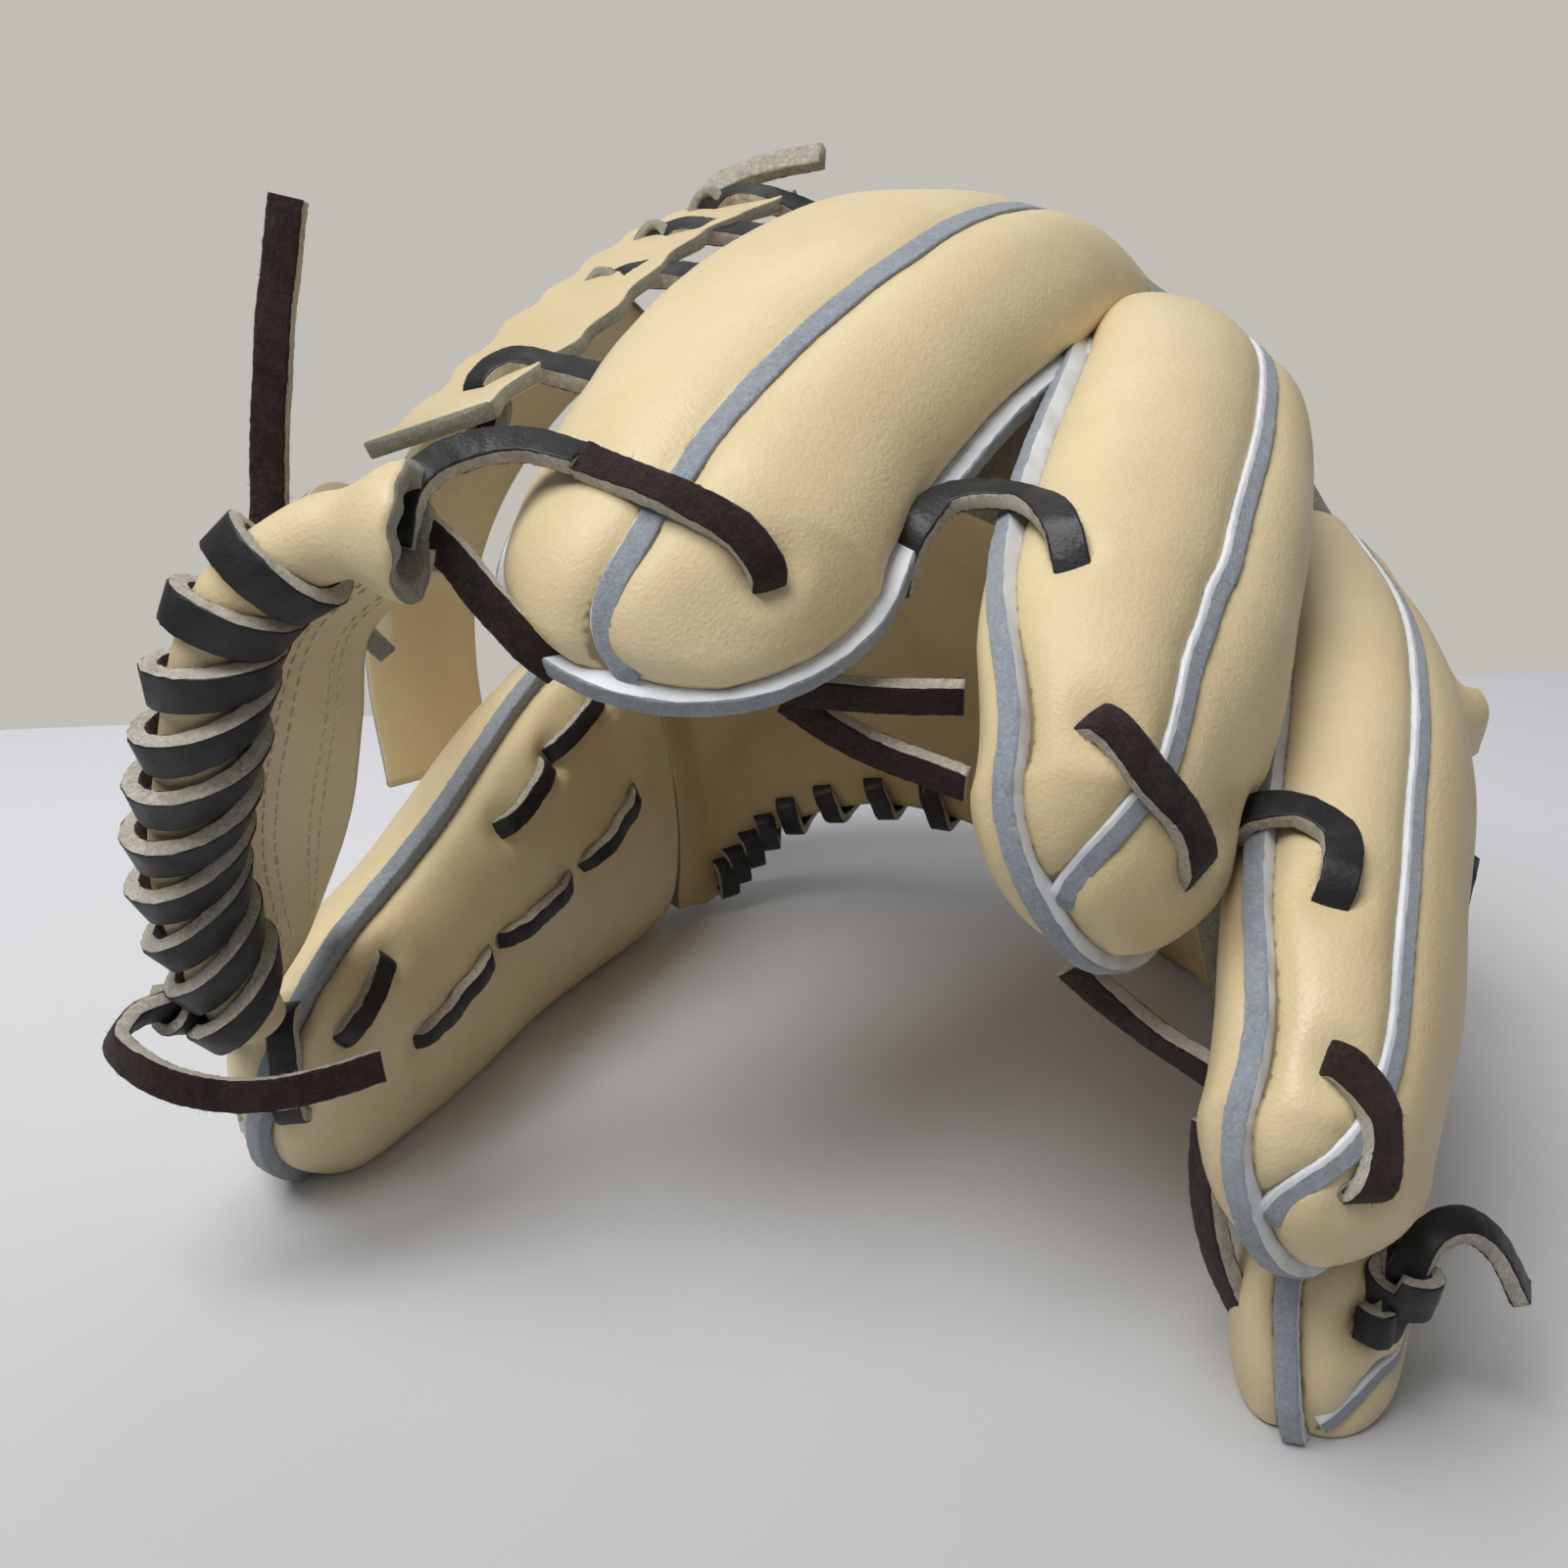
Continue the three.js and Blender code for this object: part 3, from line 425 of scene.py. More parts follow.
def bar(width, thick, corner, bulge=0.0):
    """Closed outline of a flat strip's section: side and out, then the part of the outline
    each segment belongs to: 0 the face that looks out, 1 the edges, 2 the back"""
    w, t = width / 2, thick / 2
    quarter = np.linspace(0, math.pi / 2, 4)
    points = []
    for sx, sy, start in ((1, 1, 0), (-1, 1, 1), (-1, -1, 2), (1, -1, 3)):
        for q in quarter:
            angle = q + start * math.pi / 2
            points.append((sx * (w - corner) + corner * math.cos(angle),
                           sy * (t - corner) + corner * math.sin(angle)))
    points = np.array(points)
    middle_out = np.abs(points[:, 0]) < w - corner * 0.2
    points[:, 1] += bulge * middle_out * np.sign(points[:, 1]) * 0.5
    out = (points + np.roll(points, -1, axis=0))[:, 1] / 2
    kinds = np.where(np.abs(out) > t - corner * 0.45, np.where(out > 0, 0, 2), 1)
    return points, kinds.tolist()


def fibres(rings, section, kinds, side, out, wanted, density, reach):
    """Loose fibres on a strip, each a thin tetrahedron: points, faces and their kinds. wanted are
    the kinds of the outline that they grow on, density their number on each square millimetre."""
    rows, cols = rings.shape[:2]
    next_section = np.roll(section, -1, axis=0)
    widths = np.linalg.norm(next_section - section, axis=1) * np.isin(kinds, wanted)
    span = np.linalg.norm(np.diff(rings.mean(1), axis=0), axis=1).sum()
    count = int(density * widths.sum() * span)
    row = rng.integers(0, rows - 1, count)
    col = rng.choice(cols, count, p=widths / widths.sum())
    f, g = rng.random((2, count, 1))
    after = (col + 1) % cols
    base = ((rings[row, col] * (1 - f) + rings[row, after] * f) * (1 - g)
            + (rings[row + 1, col] * (1 - f) + rings[row + 1, after] * f) * g)
    edge = (next_section - section)[col]
    away = unit(np.stack([edge[:, 1], -edge[:, 0]], -1))
    away *= np.sign(np.sum(away * (section + next_section)[col], axis=1, keepdims=True))
    normal = side[row] * away[:, :1] + out[row] * away[:, 1:]
    long = reach * rng.uniform(0.35, 1.0, (count, 1))
    tip = base + normal * long + rng.normal(0, 0.45, (count, 3)) * long
    across = unit(np.cross(normal, rng.normal(0, 1, (count, 3)))) * FIBRE_HALF
    other = np.cross(normal, across)
    foot = base - normal * 0.08
    points = np.stack([foot + across, foot - 0.5 * across + 0.87 * other, foot - 0.5 * across - 0.87 * other,
                       tip], axis=1).reshape(-1, 3)
    start = 4 * np.arange(count)[:, None, None]
    faces = (start + np.array([(0, 1, 3), (1, 2, 3), (2, 0, 3), (0, 2, 1)])).reshape(-1, 3)
    return points, faces, np.repeat(np.asarray(kinds)[col], 4)


def sweep(name, at, face, section, kinds, materials, jitter=0.0, replaces=(),
          taper=None, fuzz=()):
    """A strip along points at, its section's out turned to face. fuzz is the kinds of the outline
    with loose fibres, their number on each square millimetre and their length."""
    at = np.asarray(at, float)
    along = unit(np.gradient(at, axis=0))
    face = np.asarray(face, float)
    out = unit(face - np.sum(face * along, axis=1, keepdims=True) * along)
    side = np.cross(along, out)
    size = 1.0 if taper is None else np.asarray(taper, float)[:, None, None]
    rings = section_rings(at, side, out, section, size)
    if jitter:
        rings = rings + rng.normal(0, jitter, rings.shape)
    verts, faces = ring_body(rings)
    rows, cols = rings.shape[:2]
    arc = arc_lengths(at)
    picks = list(np.tile(kinds, rows - 1)) + [1] * (2 * cols)
    if fuzz:
        points, more, marks = fibres(rings, section, kinds, side, out, *fuzz)
        faces += [tuple(map(int, f)) for f in more + len(verts)]
        verts = np.vstack([verts, points])
        picks += list(marks)
    lay = np.zeros((len(verts), 3))
    lay[:rows * cols, 0] = np.repeat(arc, cols)
    lay[:rows * cols, 1] = np.tile(section[:, 0], rows)
    lay[:rows * cols, 2] = np.tile(section[:, 1], rows)
    return build(name, verts, faces, materials, picks, lay, replaces)


# Materials

STITCH_PITCH = 3.4  # millimetres from stitch to stitch along a welt
CELL_SMOOTHNESS = 0.6
FIBROUS_ROUGHNESS = 0.95


def new_material(name, roughness=0.5, specular=0.4):
    material = bpy.data.materials.new(name)
    material.use_nodes = True
    tree = material.node_tree
    shader = tree.nodes["Principled BSDF"]
    shader.inputs["Roughness"].default_value = roughness
    shader.inputs["Specular IOR Level"].default_value = specular
    return material, tree, shader


def node(tree, kind, settings=None, **inputs):
    made = tree.nodes.new(kind)
    for key, value in (settings or {}).items():
        setattr(made, key, value)
    for key, value in inputs.items():
        socket = made.inputs[int(key[1:]) if key[0] == "i" and key[1:].isdigit() else key.replace("_", " ")]
        if isinstance(value, bpy.types.NodeSocket):
            tree.links.new(value, socket)
        else:
            socket.default_value = value
    return made


def noise_node(tree, coords, scale, detail=3.0, rough=0.55):
    return node(tree, "ShaderNodeTexNoise", Vector=coords, Scale=scale, Detail=detail,
                Roughness=rough).outputs["Fac"]


def cells_node(tree, coords, scale, feature="F1"):
    made = node(tree, "ShaderNodeTexVoronoi", {"feature": feature}, Vector=coords, Scale=scale)
    if "Smoothness" in made.inputs and feature == "SMOOTH_F1":
        made.inputs["Smoothness"].default_value = CELL_SMOOTHNESS
    return made.outputs["Distance"]


def math_node(tree, operation, a, b=0.0):
    return node(tree, "ShaderNodeMath", {"operation": operation}, i0=a, i1=b).outputs[0]


def spread(tree, value, low, high, to_low=0.0, to_high=1.0):
    """value between low and high as a number between to_low and to_high, eased"""
    made = node(tree, "ShaderNodeMapRange", {"interpolation_type": "SMOOTHSTEP"}, Value=value)
    for key, number in (("From Min", low), ("From Max", high), ("To Min", to_low), ("To Max", to_high)):
        made.inputs[key].default_value = number
    return made.outputs["Result"]


def mix(tree, share, a, b):
    made = tree.nodes.new("ShaderNodeMix")
    made.data_type = "RGBA"
    for index, value in ((0, share), (6, a), (7, b)):
        if isinstance(value, bpy.types.NodeSocket):
            tree.links.new(value, made.inputs[index])
        elif index == 0:
            made.inputs[0].default_value = value
        else:
            made.inputs[index].default_value = (*value, 1)
    return made.outputs[2]


def object_coords(tree):
    return tree.nodes.new("ShaderNodeTexCoord").outputs["Object"]


def lay_parts(tree):
    made = tree.nodes.new("ShaderNodeAttribute")
    made.attribute_name = "lay"
    parts = node(tree, "ShaderNodeSeparateXYZ", Vector=made.outputs["Vector"])
    return parts.outputs[0], parts.outputs[1], parts.outputs[2]


def set_bump(tree, shader, layers):
    """Bump layers, each a height, a strength and a distance in metres"""
    normal = None
    for height, strength, distance in layers:
        made = node(tree, "ShaderNodeBump", Height=height, Strength=strength, Distance=distance)
        if normal is not None:
            tree.links.new(normal, made.inputs["Normal"])
        normal = made.outputs["Normal"]
    tree.links.new(normal, shader.inputs["Normal"])


def grained_leather(name, light, dark, deep, seams=True, grain=1.0, roughness=(0.40, 0.56)):
    """Full-grain leather: pebbled grain, pores and broad mottling. Where seams is true, the lay attribute's
    second part is the distance to the nearest seam, and the leather is darker within 3.5 mm of it."""
    material, tree, shader = new_material(name, specular=0.42)
    coords = object_coords(tree)
    warp = node(tree, "ShaderNodeVectorMath", {"operation": "MULTIPLY_ADD"}, i1=(0.0009,) * 3)
    soft = node(tree, "ShaderNodeTexNoise", Vector=coords, Scale=420.0, Detail=2.0)
    tree.links.new(soft.outputs["Color"], warp.inputs[0])
    tree.links.new(coords, warp.inputs[2])
    wavy = warp.outputs[0]
    mottle = noise_node(tree, coords, 26.0, 4.0)
    patches = noise_node(tree, coords, 9.0, 2.0)
    fine = noise_node(tree, coords, 900.0, 3.0)
    pebble = cells_node(tree, wavy, 1500.0, "SMOOTH_F1")
    pores = cells_node(tree, wavy, 820.0, "F1")
    colour = mix(tree, spread(tree, mottle, 0.36, 0.66), light, dark)
    colour = mix(tree, spread(tree, patches, 0.45, 0.75, 0.0, 0.5), colour, deep)
    colour = mix(tree, spread(tree, pores, 0.0, 0.22, 0.22, 0.0), colour, deep)
    colour = mix(tree, spread(tree, fine, 0.35, 0.7, 0.0, 0.14), colour, deep)
    layers = [(patches, 0.12, 0.004), (mottle, 0.08, 0.0015),
              (pebble, 0.26 * grain, 0.0003), (pores, 0.12 * grain, 0.0003), (fine, 0.10 * grain, 0.0001)]
    if seams:
        along, seam, _ = lay_parts(tree)
        stitch = math_node(tree, "SINE", math_node(tree, "MULTIPLY", along, 2 * math.pi / STITCH_PITCH))
        thread = spread(tree, stitch, 0.5, 1.0, 0.0, 0.22)
        line = spread(tree, math_node(tree, "SUBTRACT", seam, thread), 0.0, 0.5, 0.75, 0.0)
        # Darker within 3.5 mm of a seam or welt
        seam_darkening = spread(tree, seam, 0.2, 3.5, 0.30, 0.0)
        colour = mix(tree, seam_darkening, colour, deep)
        colour = mix(tree, line, colour, (0.16, 0.105, 0.055))
        layers.append((spread(tree, seam, 0.0, 0.9), 0.5, 0.0005))
    tree.links.new(colour, shader.inputs["Base Color"])
    tree.links.new(spread(tree, mottle, 0.3, 0.7, *roughness), shader.inputs["Roughness"])
    set_bump(tree, shader, layers)
    shader.inputs["Coat Weight"].default_value = 0.06
    shader.inputs["Coat Roughness"].default_value = 0.35
    return material


def fibrous(name, light, dark, scale=1.0, depth=1.0, sheen=0.3):
    """Suede, flesh side or a cut edge: fine loose fibres and no gloss"""
    material, tree, shader = new_material(name, FIBROUS_ROUGHNESS, 0.15)
    coords = object_coords(tree)
    fluff = noise_node(tree, coords, 1500.0 * scale, 5.0, 0.75)
    tufts = noise_node(tree, coords, 420.0 * scale, 4.0, 0.7)
    broad = noise_node(tree, coords, 60.0 * scale, 3.0)
    colour = mix(tree, spread(tree, fluff, 0.35, 0.65), light, dark)
    colour = mix(tree, spread(tree, tufts, 0.42, 0.62, 0.0, 0.55), colour, dark)
    colour = mix(tree, spread(tree, broad, 0.4, 0.7, 0.0, 0.4), colour, light)
    tree.links.new(colour, shader.inputs["Base Color"])
    set_bump(tree, shader, [(tufts, 0.6 * depth, 0.0006), (fluff, 0.7 * depth, 0.0003)])
    shader.inputs["Sheen Weight"].default_value = sheen
    shader.inputs["Sheen Roughness"].default_value = 0.6
    return material


def smooth_leather(name, light, dark, roughness, depth=1.0):
    """Finished leather with a faint grain and fine cracks"""
    material, tree, shader = new_material(name, roughness, 0.4)
    coords = object_coords(tree)
    grain = cells_node(tree, coords, 1300.0, "SMOOTH_F1")
    cracks = node(tree, "ShaderNodeTexVoronoi", {"feature": "DISTANCE_TO_EDGE"}, Vector=coords,
                  Scale=520.0).outputs["Distance"]
    broad = noise_node(tree, coords, 90.0, 4.0)
    colour = mix(tree, spread(tree, broad, 0.35, 0.7), light, dark)
    colour = mix(tree, spread(tree, cracks, 0.0, 0.05, 0.5, 0.0), colour, dark)
    tree.links.new(colour, shader.inputs["Base Color"])
    tree.links.new(spread(tree, broad, 0.3, 0.7, roughness - 0.08, roughness + 0.1),
                   shader.inputs["Roughness"])
    set_bump(tree, shader, [(broad, 0.15 * depth, 0.001), (grain, 0.3 * depth, 0.0002),
                            (cracks, 0.25 * depth, 0.0002)])
    return material


SHELL = grained_leather("shell", (0.77, 0.64, 0.395), (0.71, 0.58, 0.34), (0.60, 0.47, 0.25))
PLAIN = grained_leather("plain", (0.75, 0.62, 0.38), (0.69, 0.56, 0.325), (0.58, 0.45, 0.24), seams=False)
# The palm is the shell's cream leather made darker and more saturated: painted shade under the glove's arch
SHADED_PALM_SKIN = grained_leather("palm", (0.66, 0.51, 0.27), (0.57, 0.425, 0.205), (0.44, 0.31, 0.135),
                            seams=False, grain=0.8)
# Lining: the fibrous flesh side of the leather inside the glove, made darker with painted shade of the
# glove's inside
SHADED_LINING = fibrous("lining", (0.52, 0.45, 0.34), (0.36, 0.30, 0.215), 0.5, 0.8, 0.2)
SUEDE = fibrous("suede", (0.37, 0.405, 0.45), (0.235, 0.262, 0.30), sheen=0.3)
WHITE = smooth_leather("white", (0.78, 0.80, 0.83), (0.66, 0.69, 0.73), 0.5, depth=0.5)
RAW = fibrous("raw_edge", (0.36, 0.35, 0.27), (0.19, 0.19, 0.145), sheen=0.3)
LACE_BLACK = smooth_leather("lace_black", (0.020, 0.020, 0.022), (0.009, 0.009, 0.010), 0.48)
LACE_FLESH = fibrous("lace_flesh", (0.042, 0.021, 0.017), (0.010, 0.005, 0.004), 0.8, 1.4, 0.12)
LACE_EDGE = fibrous("lace_edge", (0.60, 0.56, 0.47), (0.33, 0.295, 0.235), 0.8, 1.2, 0.2)
THREAD = smooth_leather("thread", (0.80, 0.72, 0.55), (0.66, 0.58, 0.42), 0.6)
# Near-black painted shade for the inside of the cuts where laces go in
HOLE_SHADE = smooth_leather("hole", (0.03, 0.02, 0.012), (0.015, 0.01, 0.006), 0.9)


PRESS_HEIGHT = 6.0  # millimetres above the table where the pressing ends


def on_table(point, round_off=1.6):
    """Points pressed flat where they would sink into the table, with a rounded edge"""
    z = point[..., 2]
    spare = 0.5 * (math.hypot(PRESS_HEIGHT, round_off) - PRESS_HEIGHT)
    pressed = 0.5 * (z + np.sqrt(z**2 + round_off**2)) - spare
    point = point.copy()
    point[..., 2] = np.where(z < PRESS_HEIGHT, np.maximum(pressed, TABLE_SEAT), z)
    return point


# Finger stalls

# Line of the seam over each stall: distance from the tip as a share of the rounded tip's length,
# then degrees away from the middle of the back, negative to the thumb's side
SEAM_LINE = {
    "index": [(0.05, -80), (0.3, -34), (0.6, -11), (1.1, 0), (2.2, 6), (3.9, 12), (6.5, 6)],
    "middle": [(0.11, -86), (0.4, -44), (0.8, -34), (1.5, -27), (1.9, -16), (2.4, -5), (3.2, 1), (7.5, 8)],
    "ring": [(0.11, -84), (0.6, -40), (1.3, -36), (2.5, -20), (3.2, -16), (5.6, -17), (7.5, -10)],
    "pinky": [(0.05, 40), (0.14, 4), (0.5, -6), (0.8, 0), (7.5, 0)],
    "thumb": [(0.06, 0), (0.5, 0), (0.8, 0), (2.2, 0), (4.0, 0), (7.5, 0)],
}


class Stall:
    """A padded finger stall. Distances from its tip and angles round its section are in
    millimetres and radians: angle 0 is its edge on the thumb's side, a quarter turn its back."""

    def __init__(self, name):
        rows = np.array(FINGERS[name], float)
        self.name = name
        self.centres = Path(rows[:, :3])
        self.sizes = Path(rows[:, 3:])
        self.length = self.centres.length
        self.tip = rows[0, 3] * TIP_SHARE
        self.seam = np.array(SEAM_LINE[name], float)
        self.dimples = []

    def frame(self, d):
        t = self.centres.even(np.clip(d / self.length, 0, 1))
        centre = self.centres.at(t)
        way = self.centres.way(t)
        width, thick, lean = np.moveaxis(self.sizes.at(t), -1, 0)
        lean = np.radians(lean)
        up = np.stack([np.sin(lean), 0 * lean, np.cos(lean)], -1)
        back = unit(up - np.sum(up * way, -1, keepdims=True) * way)
        side = unit(np.cross(back, way))
        ends = np.sqrt(np.clip(1 - np.clip(1 - d / self.tip, 0, 1) ** 2, 0, 1))
        return centre, back, side, way, width * ends, thick * ends

    def plain(self, d, angle, grow=0.0):
        centre, back, side, _, width, thick = self.frame(d)
        power = 2 / BOXINESS
        c, s = np.cos(angle), np.sin(angle)
        across = np.sign(c) * np.abs(c) ** power * (width / 2 + grow)
        share = np.where(s > 0, BACK_SHARE, 1 - BACK_SHARE)
        rise = np.sign(s) * np.abs(s) ** power * (thick * share + grow)
        return centre + side * across[..., None] + back * rise[..., None]

    def normal(self, d, angle):
        e = 0.02
        turn = self.plain(d, angle + e) - self.plain(d, angle - e)
        after = self.plain(np.minimum(d + 0.4, self.length), angle)
        run = after - self.plain(np.maximum(d - 0.4, 0.02), angle)
        return unit(np.cross(turn, run))

    def seam_angle(self, d):
        turns = [np.interp(d + self.tip * step, self.seam[:, 0] * self.tip, self.seam[:, 1])
                 for step in np.linspace(-0.12, 0.12, 7)]
        return math.pi / 2 + np.radians(np.mean(turns, axis=0))

    def to_seam(self, d, angle, point):
        """Distance to the seam down the back, signed: positive away from the thumb's side"""
        line = self.seam_angle(d)
        gap = np.linalg.norm(point - self.plain(d, line), axis=-1)
        sign = np.sign(np.sin(angle - line))
        return gap * np.where(sign == 0, 1, sign)

    def to_edge(self, d, angle, point):
        """Distance to the welt round the outline"""
        zero = np.zeros_like(angle)
        left = np.linalg.norm(point - self.plain(d, zero), axis=-1)
        right = np.linalg.norm(point - self.plain(d, zero + math.pi), axis=-1)
        _, back, _, _, _, _ = self.frame(d)
        tip = self.plain(np.full_like(d, 0.01), zero)
        flat = np.abs(np.sum((point - tip) * back, axis=-1))
        over_tip = np.where(d < self.tip * 0.5, flat, 99)
        return np.minimum(np.minimum(left, right), over_tip)

    def skin(self, d, angle, lift=0.0):
        """Points on the sewn leather"""
        d, angle = np.broadcast_arrays(np.asarray(d, float), np.asarray(angle, float))
        point = self.plain(d, angle)
        seam = self.to_seam(d, angle, point)
        edge = self.to_edge(d, angle, point)
        started = smooth_step(d, self.seam[0, 0] * self.tip - 2, self.seam[0, 0] * self.tip + 2)
        on_back = smooth_step(np.sin(angle), -0.15, 0.15)
        rise = -1.5 * bump(seam, 3.2) * started * on_back
        rise += 0.7 * bump(np.abs(seam) - 11, 7) * on_back
        rise += -1.1 * bump(edge, 2.6) + 0.35 * bump(edge - 6, 3)
        pucker = lumps(np.stack([d, 0 * d, 0 * d + edge * 0.3], -1), 2.6, 3.1)
        rise += 0.16 * pucker * (bump(edge - 2.4, 2.0) + bump(np.abs(seam) - 3.4, 1.6) * on_back)
        rise += 0.7 * lumps(point, 40, 1.7) + 0.22 * lumps(point, 17, 8.2)
        for at, depth, radius in self.dimples:
            gap = np.linalg.norm(point - at, axis=-1)
            rise -= depth * bump(gap, radius) - 0.25 * depth * bump(gap - radius * 1.5, radius * 0.6)
        point = point + self.normal(d, angle) * (rise + lift)[..., None]
        return on_table(point)


def stall_mesh(stall, rows_tip=22, rows_run=72, cols=128):
    """The stall with its wall: outside from the tip to the wrist end, then the hollow back in"""
    turn = np.linspace(0, math.pi / 2, rows_tip, endpoint=False)[1:]
    d = np.concatenate([stall.tip * (1 - np.cos(turn)), np.linspace(stall.tip, stall.length, rows_run)])
    angles = np.linspace(0, 2 * math.pi, cols, endpoint=False)
    dd, aa = np.meshgrid(d, angles, indexing="ij")
    outer = stall.skin(dd, aa)
    inner_d = np.linspace(stall.length, stall.tip * 0.9, 26)
    di, ai = np.meshgrid(inner_d, angles, indexing="ij")
    inner = stall.plain(di, ai, -STALL_WALL)
    rim_out = outer[-1] + 0.6 * unit(outer[-1] - outer[-2])
    rim_in = inner[0] + 0.6 * unit(outer[-1] - outer[-2])
    rings = np.concatenate([outer, [rim_out, rim_in], inner])
    verts, faces = ring_body(rings)
    plain = stall.plain(dd, aa)
    seam = np.abs(stall.to_seam(dd, aa, plain))
    on_back = np.sin(aa) > -0.05
    seam = np.where(on_back & (dd > stall.seam[0, 0] * stall.tip), np.maximum(seam - 2.0, 0), 50)
    edge = np.maximum(stall.to_edge(dd, aa, plain) - 2.0, 0)
    lay = np.full((len(verts), 3), 50.0)
    n = outer.shape[0] * cols
    lay[:n, 0] = dd.ravel()
    lay[:n, 1] = np.minimum(seam, edge).ravel()
    rows = len(rings)
    band = np.repeat(np.arange(rows - 1), cols)
    picks = np.where(band < outer.shape[0] - 1, 0, np.where(band < outer.shape[0] + 1, 1, 2)).tolist()
    picks += [0 if f[0] == rows * cols else 2 for f in faces[len(picks):]]
    return build(f"{stall.name}_leather", verts, faces, [SHELL, RAW, SHADED_LINING], picks, lay,
                 (f"{stall.name}_stall", f"{stall.name}_palm"))


STALLS = {name: Stall(name) for name in FINGERS}
SKIN_GRIDS = {}  # each stall's distances, angles and plain surface, once they are asked for


def nearest_skin(point, reach=10.0, names=tuple(FINGERS)):
    """The stall, the place on its plain surface and the normal there nearest to a point"""
    best = None
    for name in names:
        stall = STALLS[name]
        if name not in SKIN_GRIDS:
            dd, aa = np.meshgrid(np.linspace(0.5, stall.length, 200), np.linspace(0, 2 * math.pi, 180),
                                 indexing="ij")
            SKIN_GRIDS[name] = (dd, aa, stall.plain(dd, aa))
        dd, aa, p = SKIN_GRIDS[name]
        gap = np.linalg.norm(p - point, axis=-1)
        i, j = np.unravel_index(np.argmin(gap), gap.shape)
        if gap[i, j] < reach and (best is None or gap[i, j] < best[0]):
            best = (gap[i, j], stall, dd[i, j], aa[i, j])
    if best is None:
        return None
    _, stall, d, angle = best
    d, angle = np.array([d]), np.array([angle])
    return stall, d, angle, stall.plain(d, angle)[0], stall.normal(d, angle)[0]


def eased(line, passes):
    """A line of points or faces with its small wobbles taken out"""
    line = line.copy()
    for _ in range(passes):
        line[1:-1] = (line[:-2] + 2 * line[1:-1] + line[2:]) / 4
    return line


WHITE_FROM = {"index": 1.9}  # how far from the middle of a seam's welt its white edge begins


def stall_seam(stall):
    """Welt sewn in down the stall's back: suede, with a white edge on the thumb's side"""
    d = np.linspace(stall.seam[0, 0] * stall.tip, stall.length - 1, 150)
    angle = stall.seam_angle(d)
    at = eased(stall.skin(d, angle, 0.55), 10)
    face = unit(eased(stall.normal(d, angle), 10))
    plain_section, _ = bar(4.3, 1.5, 0.45, 0.25)
    section = []
    for a, b in zip(plain_section, np.roll(plain_section, -1, axis=0)):
        section.append(a)
        if abs(b[0] - a[0]) > 2:
            section += [a + (b - a) * share for share in (0.2, 0.8)]
    section = np.array(section)
    _, _, thumb_way, _, _, _ = stall.frame(d)
    side = np.cross(unit(np.gradient(at, axis=0)), face)
    thumb_side = 1 if np.sum(side * thumb_way) > 0 else -1
    middles = (section + np.roll(section, -1, axis=0)) / 2
    marks = np.where(middles[:, 0] * thumb_side > WHITE_FROM.get(stall.name, 1.2), 1, 0)
    return sweep(f"{stall.name}_seam_welt", at, face, section, marks, [SUEDE, WHITE], 0.05,
                 (f"{stall.name}_seam",), fuzz=SUEDE_FUZZ)


def stall_welt(stall, share=0.86):
    """Raised welt round the outline: suede on top, smooth and white towards the back"""
    turn = np.linspace(0, math.pi / 2, 26, endpoint=False)
    run = np.linspace(stall.tip, stall.length * share, 90)
    d = np.concatenate([stall.tip * (1 - np.cos(turn)), run])
    d[0] = 0.02
    left = stall.skin(d, np.zeros_like(d), 0.0)
    right = stall.skin(d, np.full_like(d, math.pi), 0.0)
    base = eased(np.concatenate([right[:0:-1], left]), 30)
    _, back, _, _, _, _ = stall.frame(np.concatenate([d[:0:-1], d]))
    along = unit(np.gradient(base, axis=0))
    face = unit(np.cross(back, along))
    middle = base.mean(0)
    if np.sum(face * (base - middle)) < 0:
        face = -face
    at = base + face * 1.9
    section, _ = bar(3.8, 4.4, 0.5, 0.2)
    middles = (section + np.roll(section, -1, axis=0)) / 2
    back_side = 1 if np.sum(np.cross(along, face) * back) > 0 else -1
    picks = np.where((middles[:, 0] * back_side > 1.3) & (middles[:, 1] < 2.0), 1, 0)
    return sweep(f"{stall.name}_outline_welt", at, face, section, picks, [SUEDE, WHITE], 0.07,
                 (f"{stall.name}_welt",), fuzz=SUEDE_FUZZ)


# Laces: the face that looks out, the cut edges and the back
OUT_BLACK = (LACE_BLACK, LACE_EDGE, LACE_FLESH)
OUT_FLESH = (LACE_FLESH, LACE_EDGE, LACE_BLACK)
FLESH_OUT = {
    "tall_tail", "index_tip_lace", "middle_tip_lace", "ring_tip_lace", "palm_lace_upper", "far_tail",
    "palm_lace_lower", "palm_lace_ring_lower", "palm_lace_pinky", "web_under_lace", "thumb_tail",
}

# Which ends go into the leather: the first, the last
GOES_IN = {
    "index_tip_lace": (0, 1), "index_middle_lace": (1, 1), "middle_tip_lace": (1, 1),
    "middle_ring_lace": (1, 1), "ring_tip_lace": (1, 1), "thumb_tip_lace": (1, 1),
    "pinky_edge_lace": (1, 1), "pinky_tail": (1, 0), "pinky_back_tail": (1, 0), "web_under_lace": (0, 1),
    "web_loop_a": (1, 0), "web_loop_b": (1, 0), "web_loop_c": (1, 0), "web_loop_d": (1, 0),
}
LACE_FUZZ = ((1, 2), 0.9, 0.75)  # on the cut edges and the flesh side
FLESH_OUT_FUZZ = ((0, 1), 0.9, 0.75)
SUEDE_FUZZ = ((0,), 0.9, 0.4)
DIP = 4.5  # how deep an end goes in
END_REACH = 1.5  # how far on along the lace it does so
DASH_MORE = 4.0  # how far a lace on the thumb runs on beyond its solid, each way
DASH_WIDTH = 4.6
DIMPLE = (1.5, 4.6)  # depth and radius of the dent round a lace


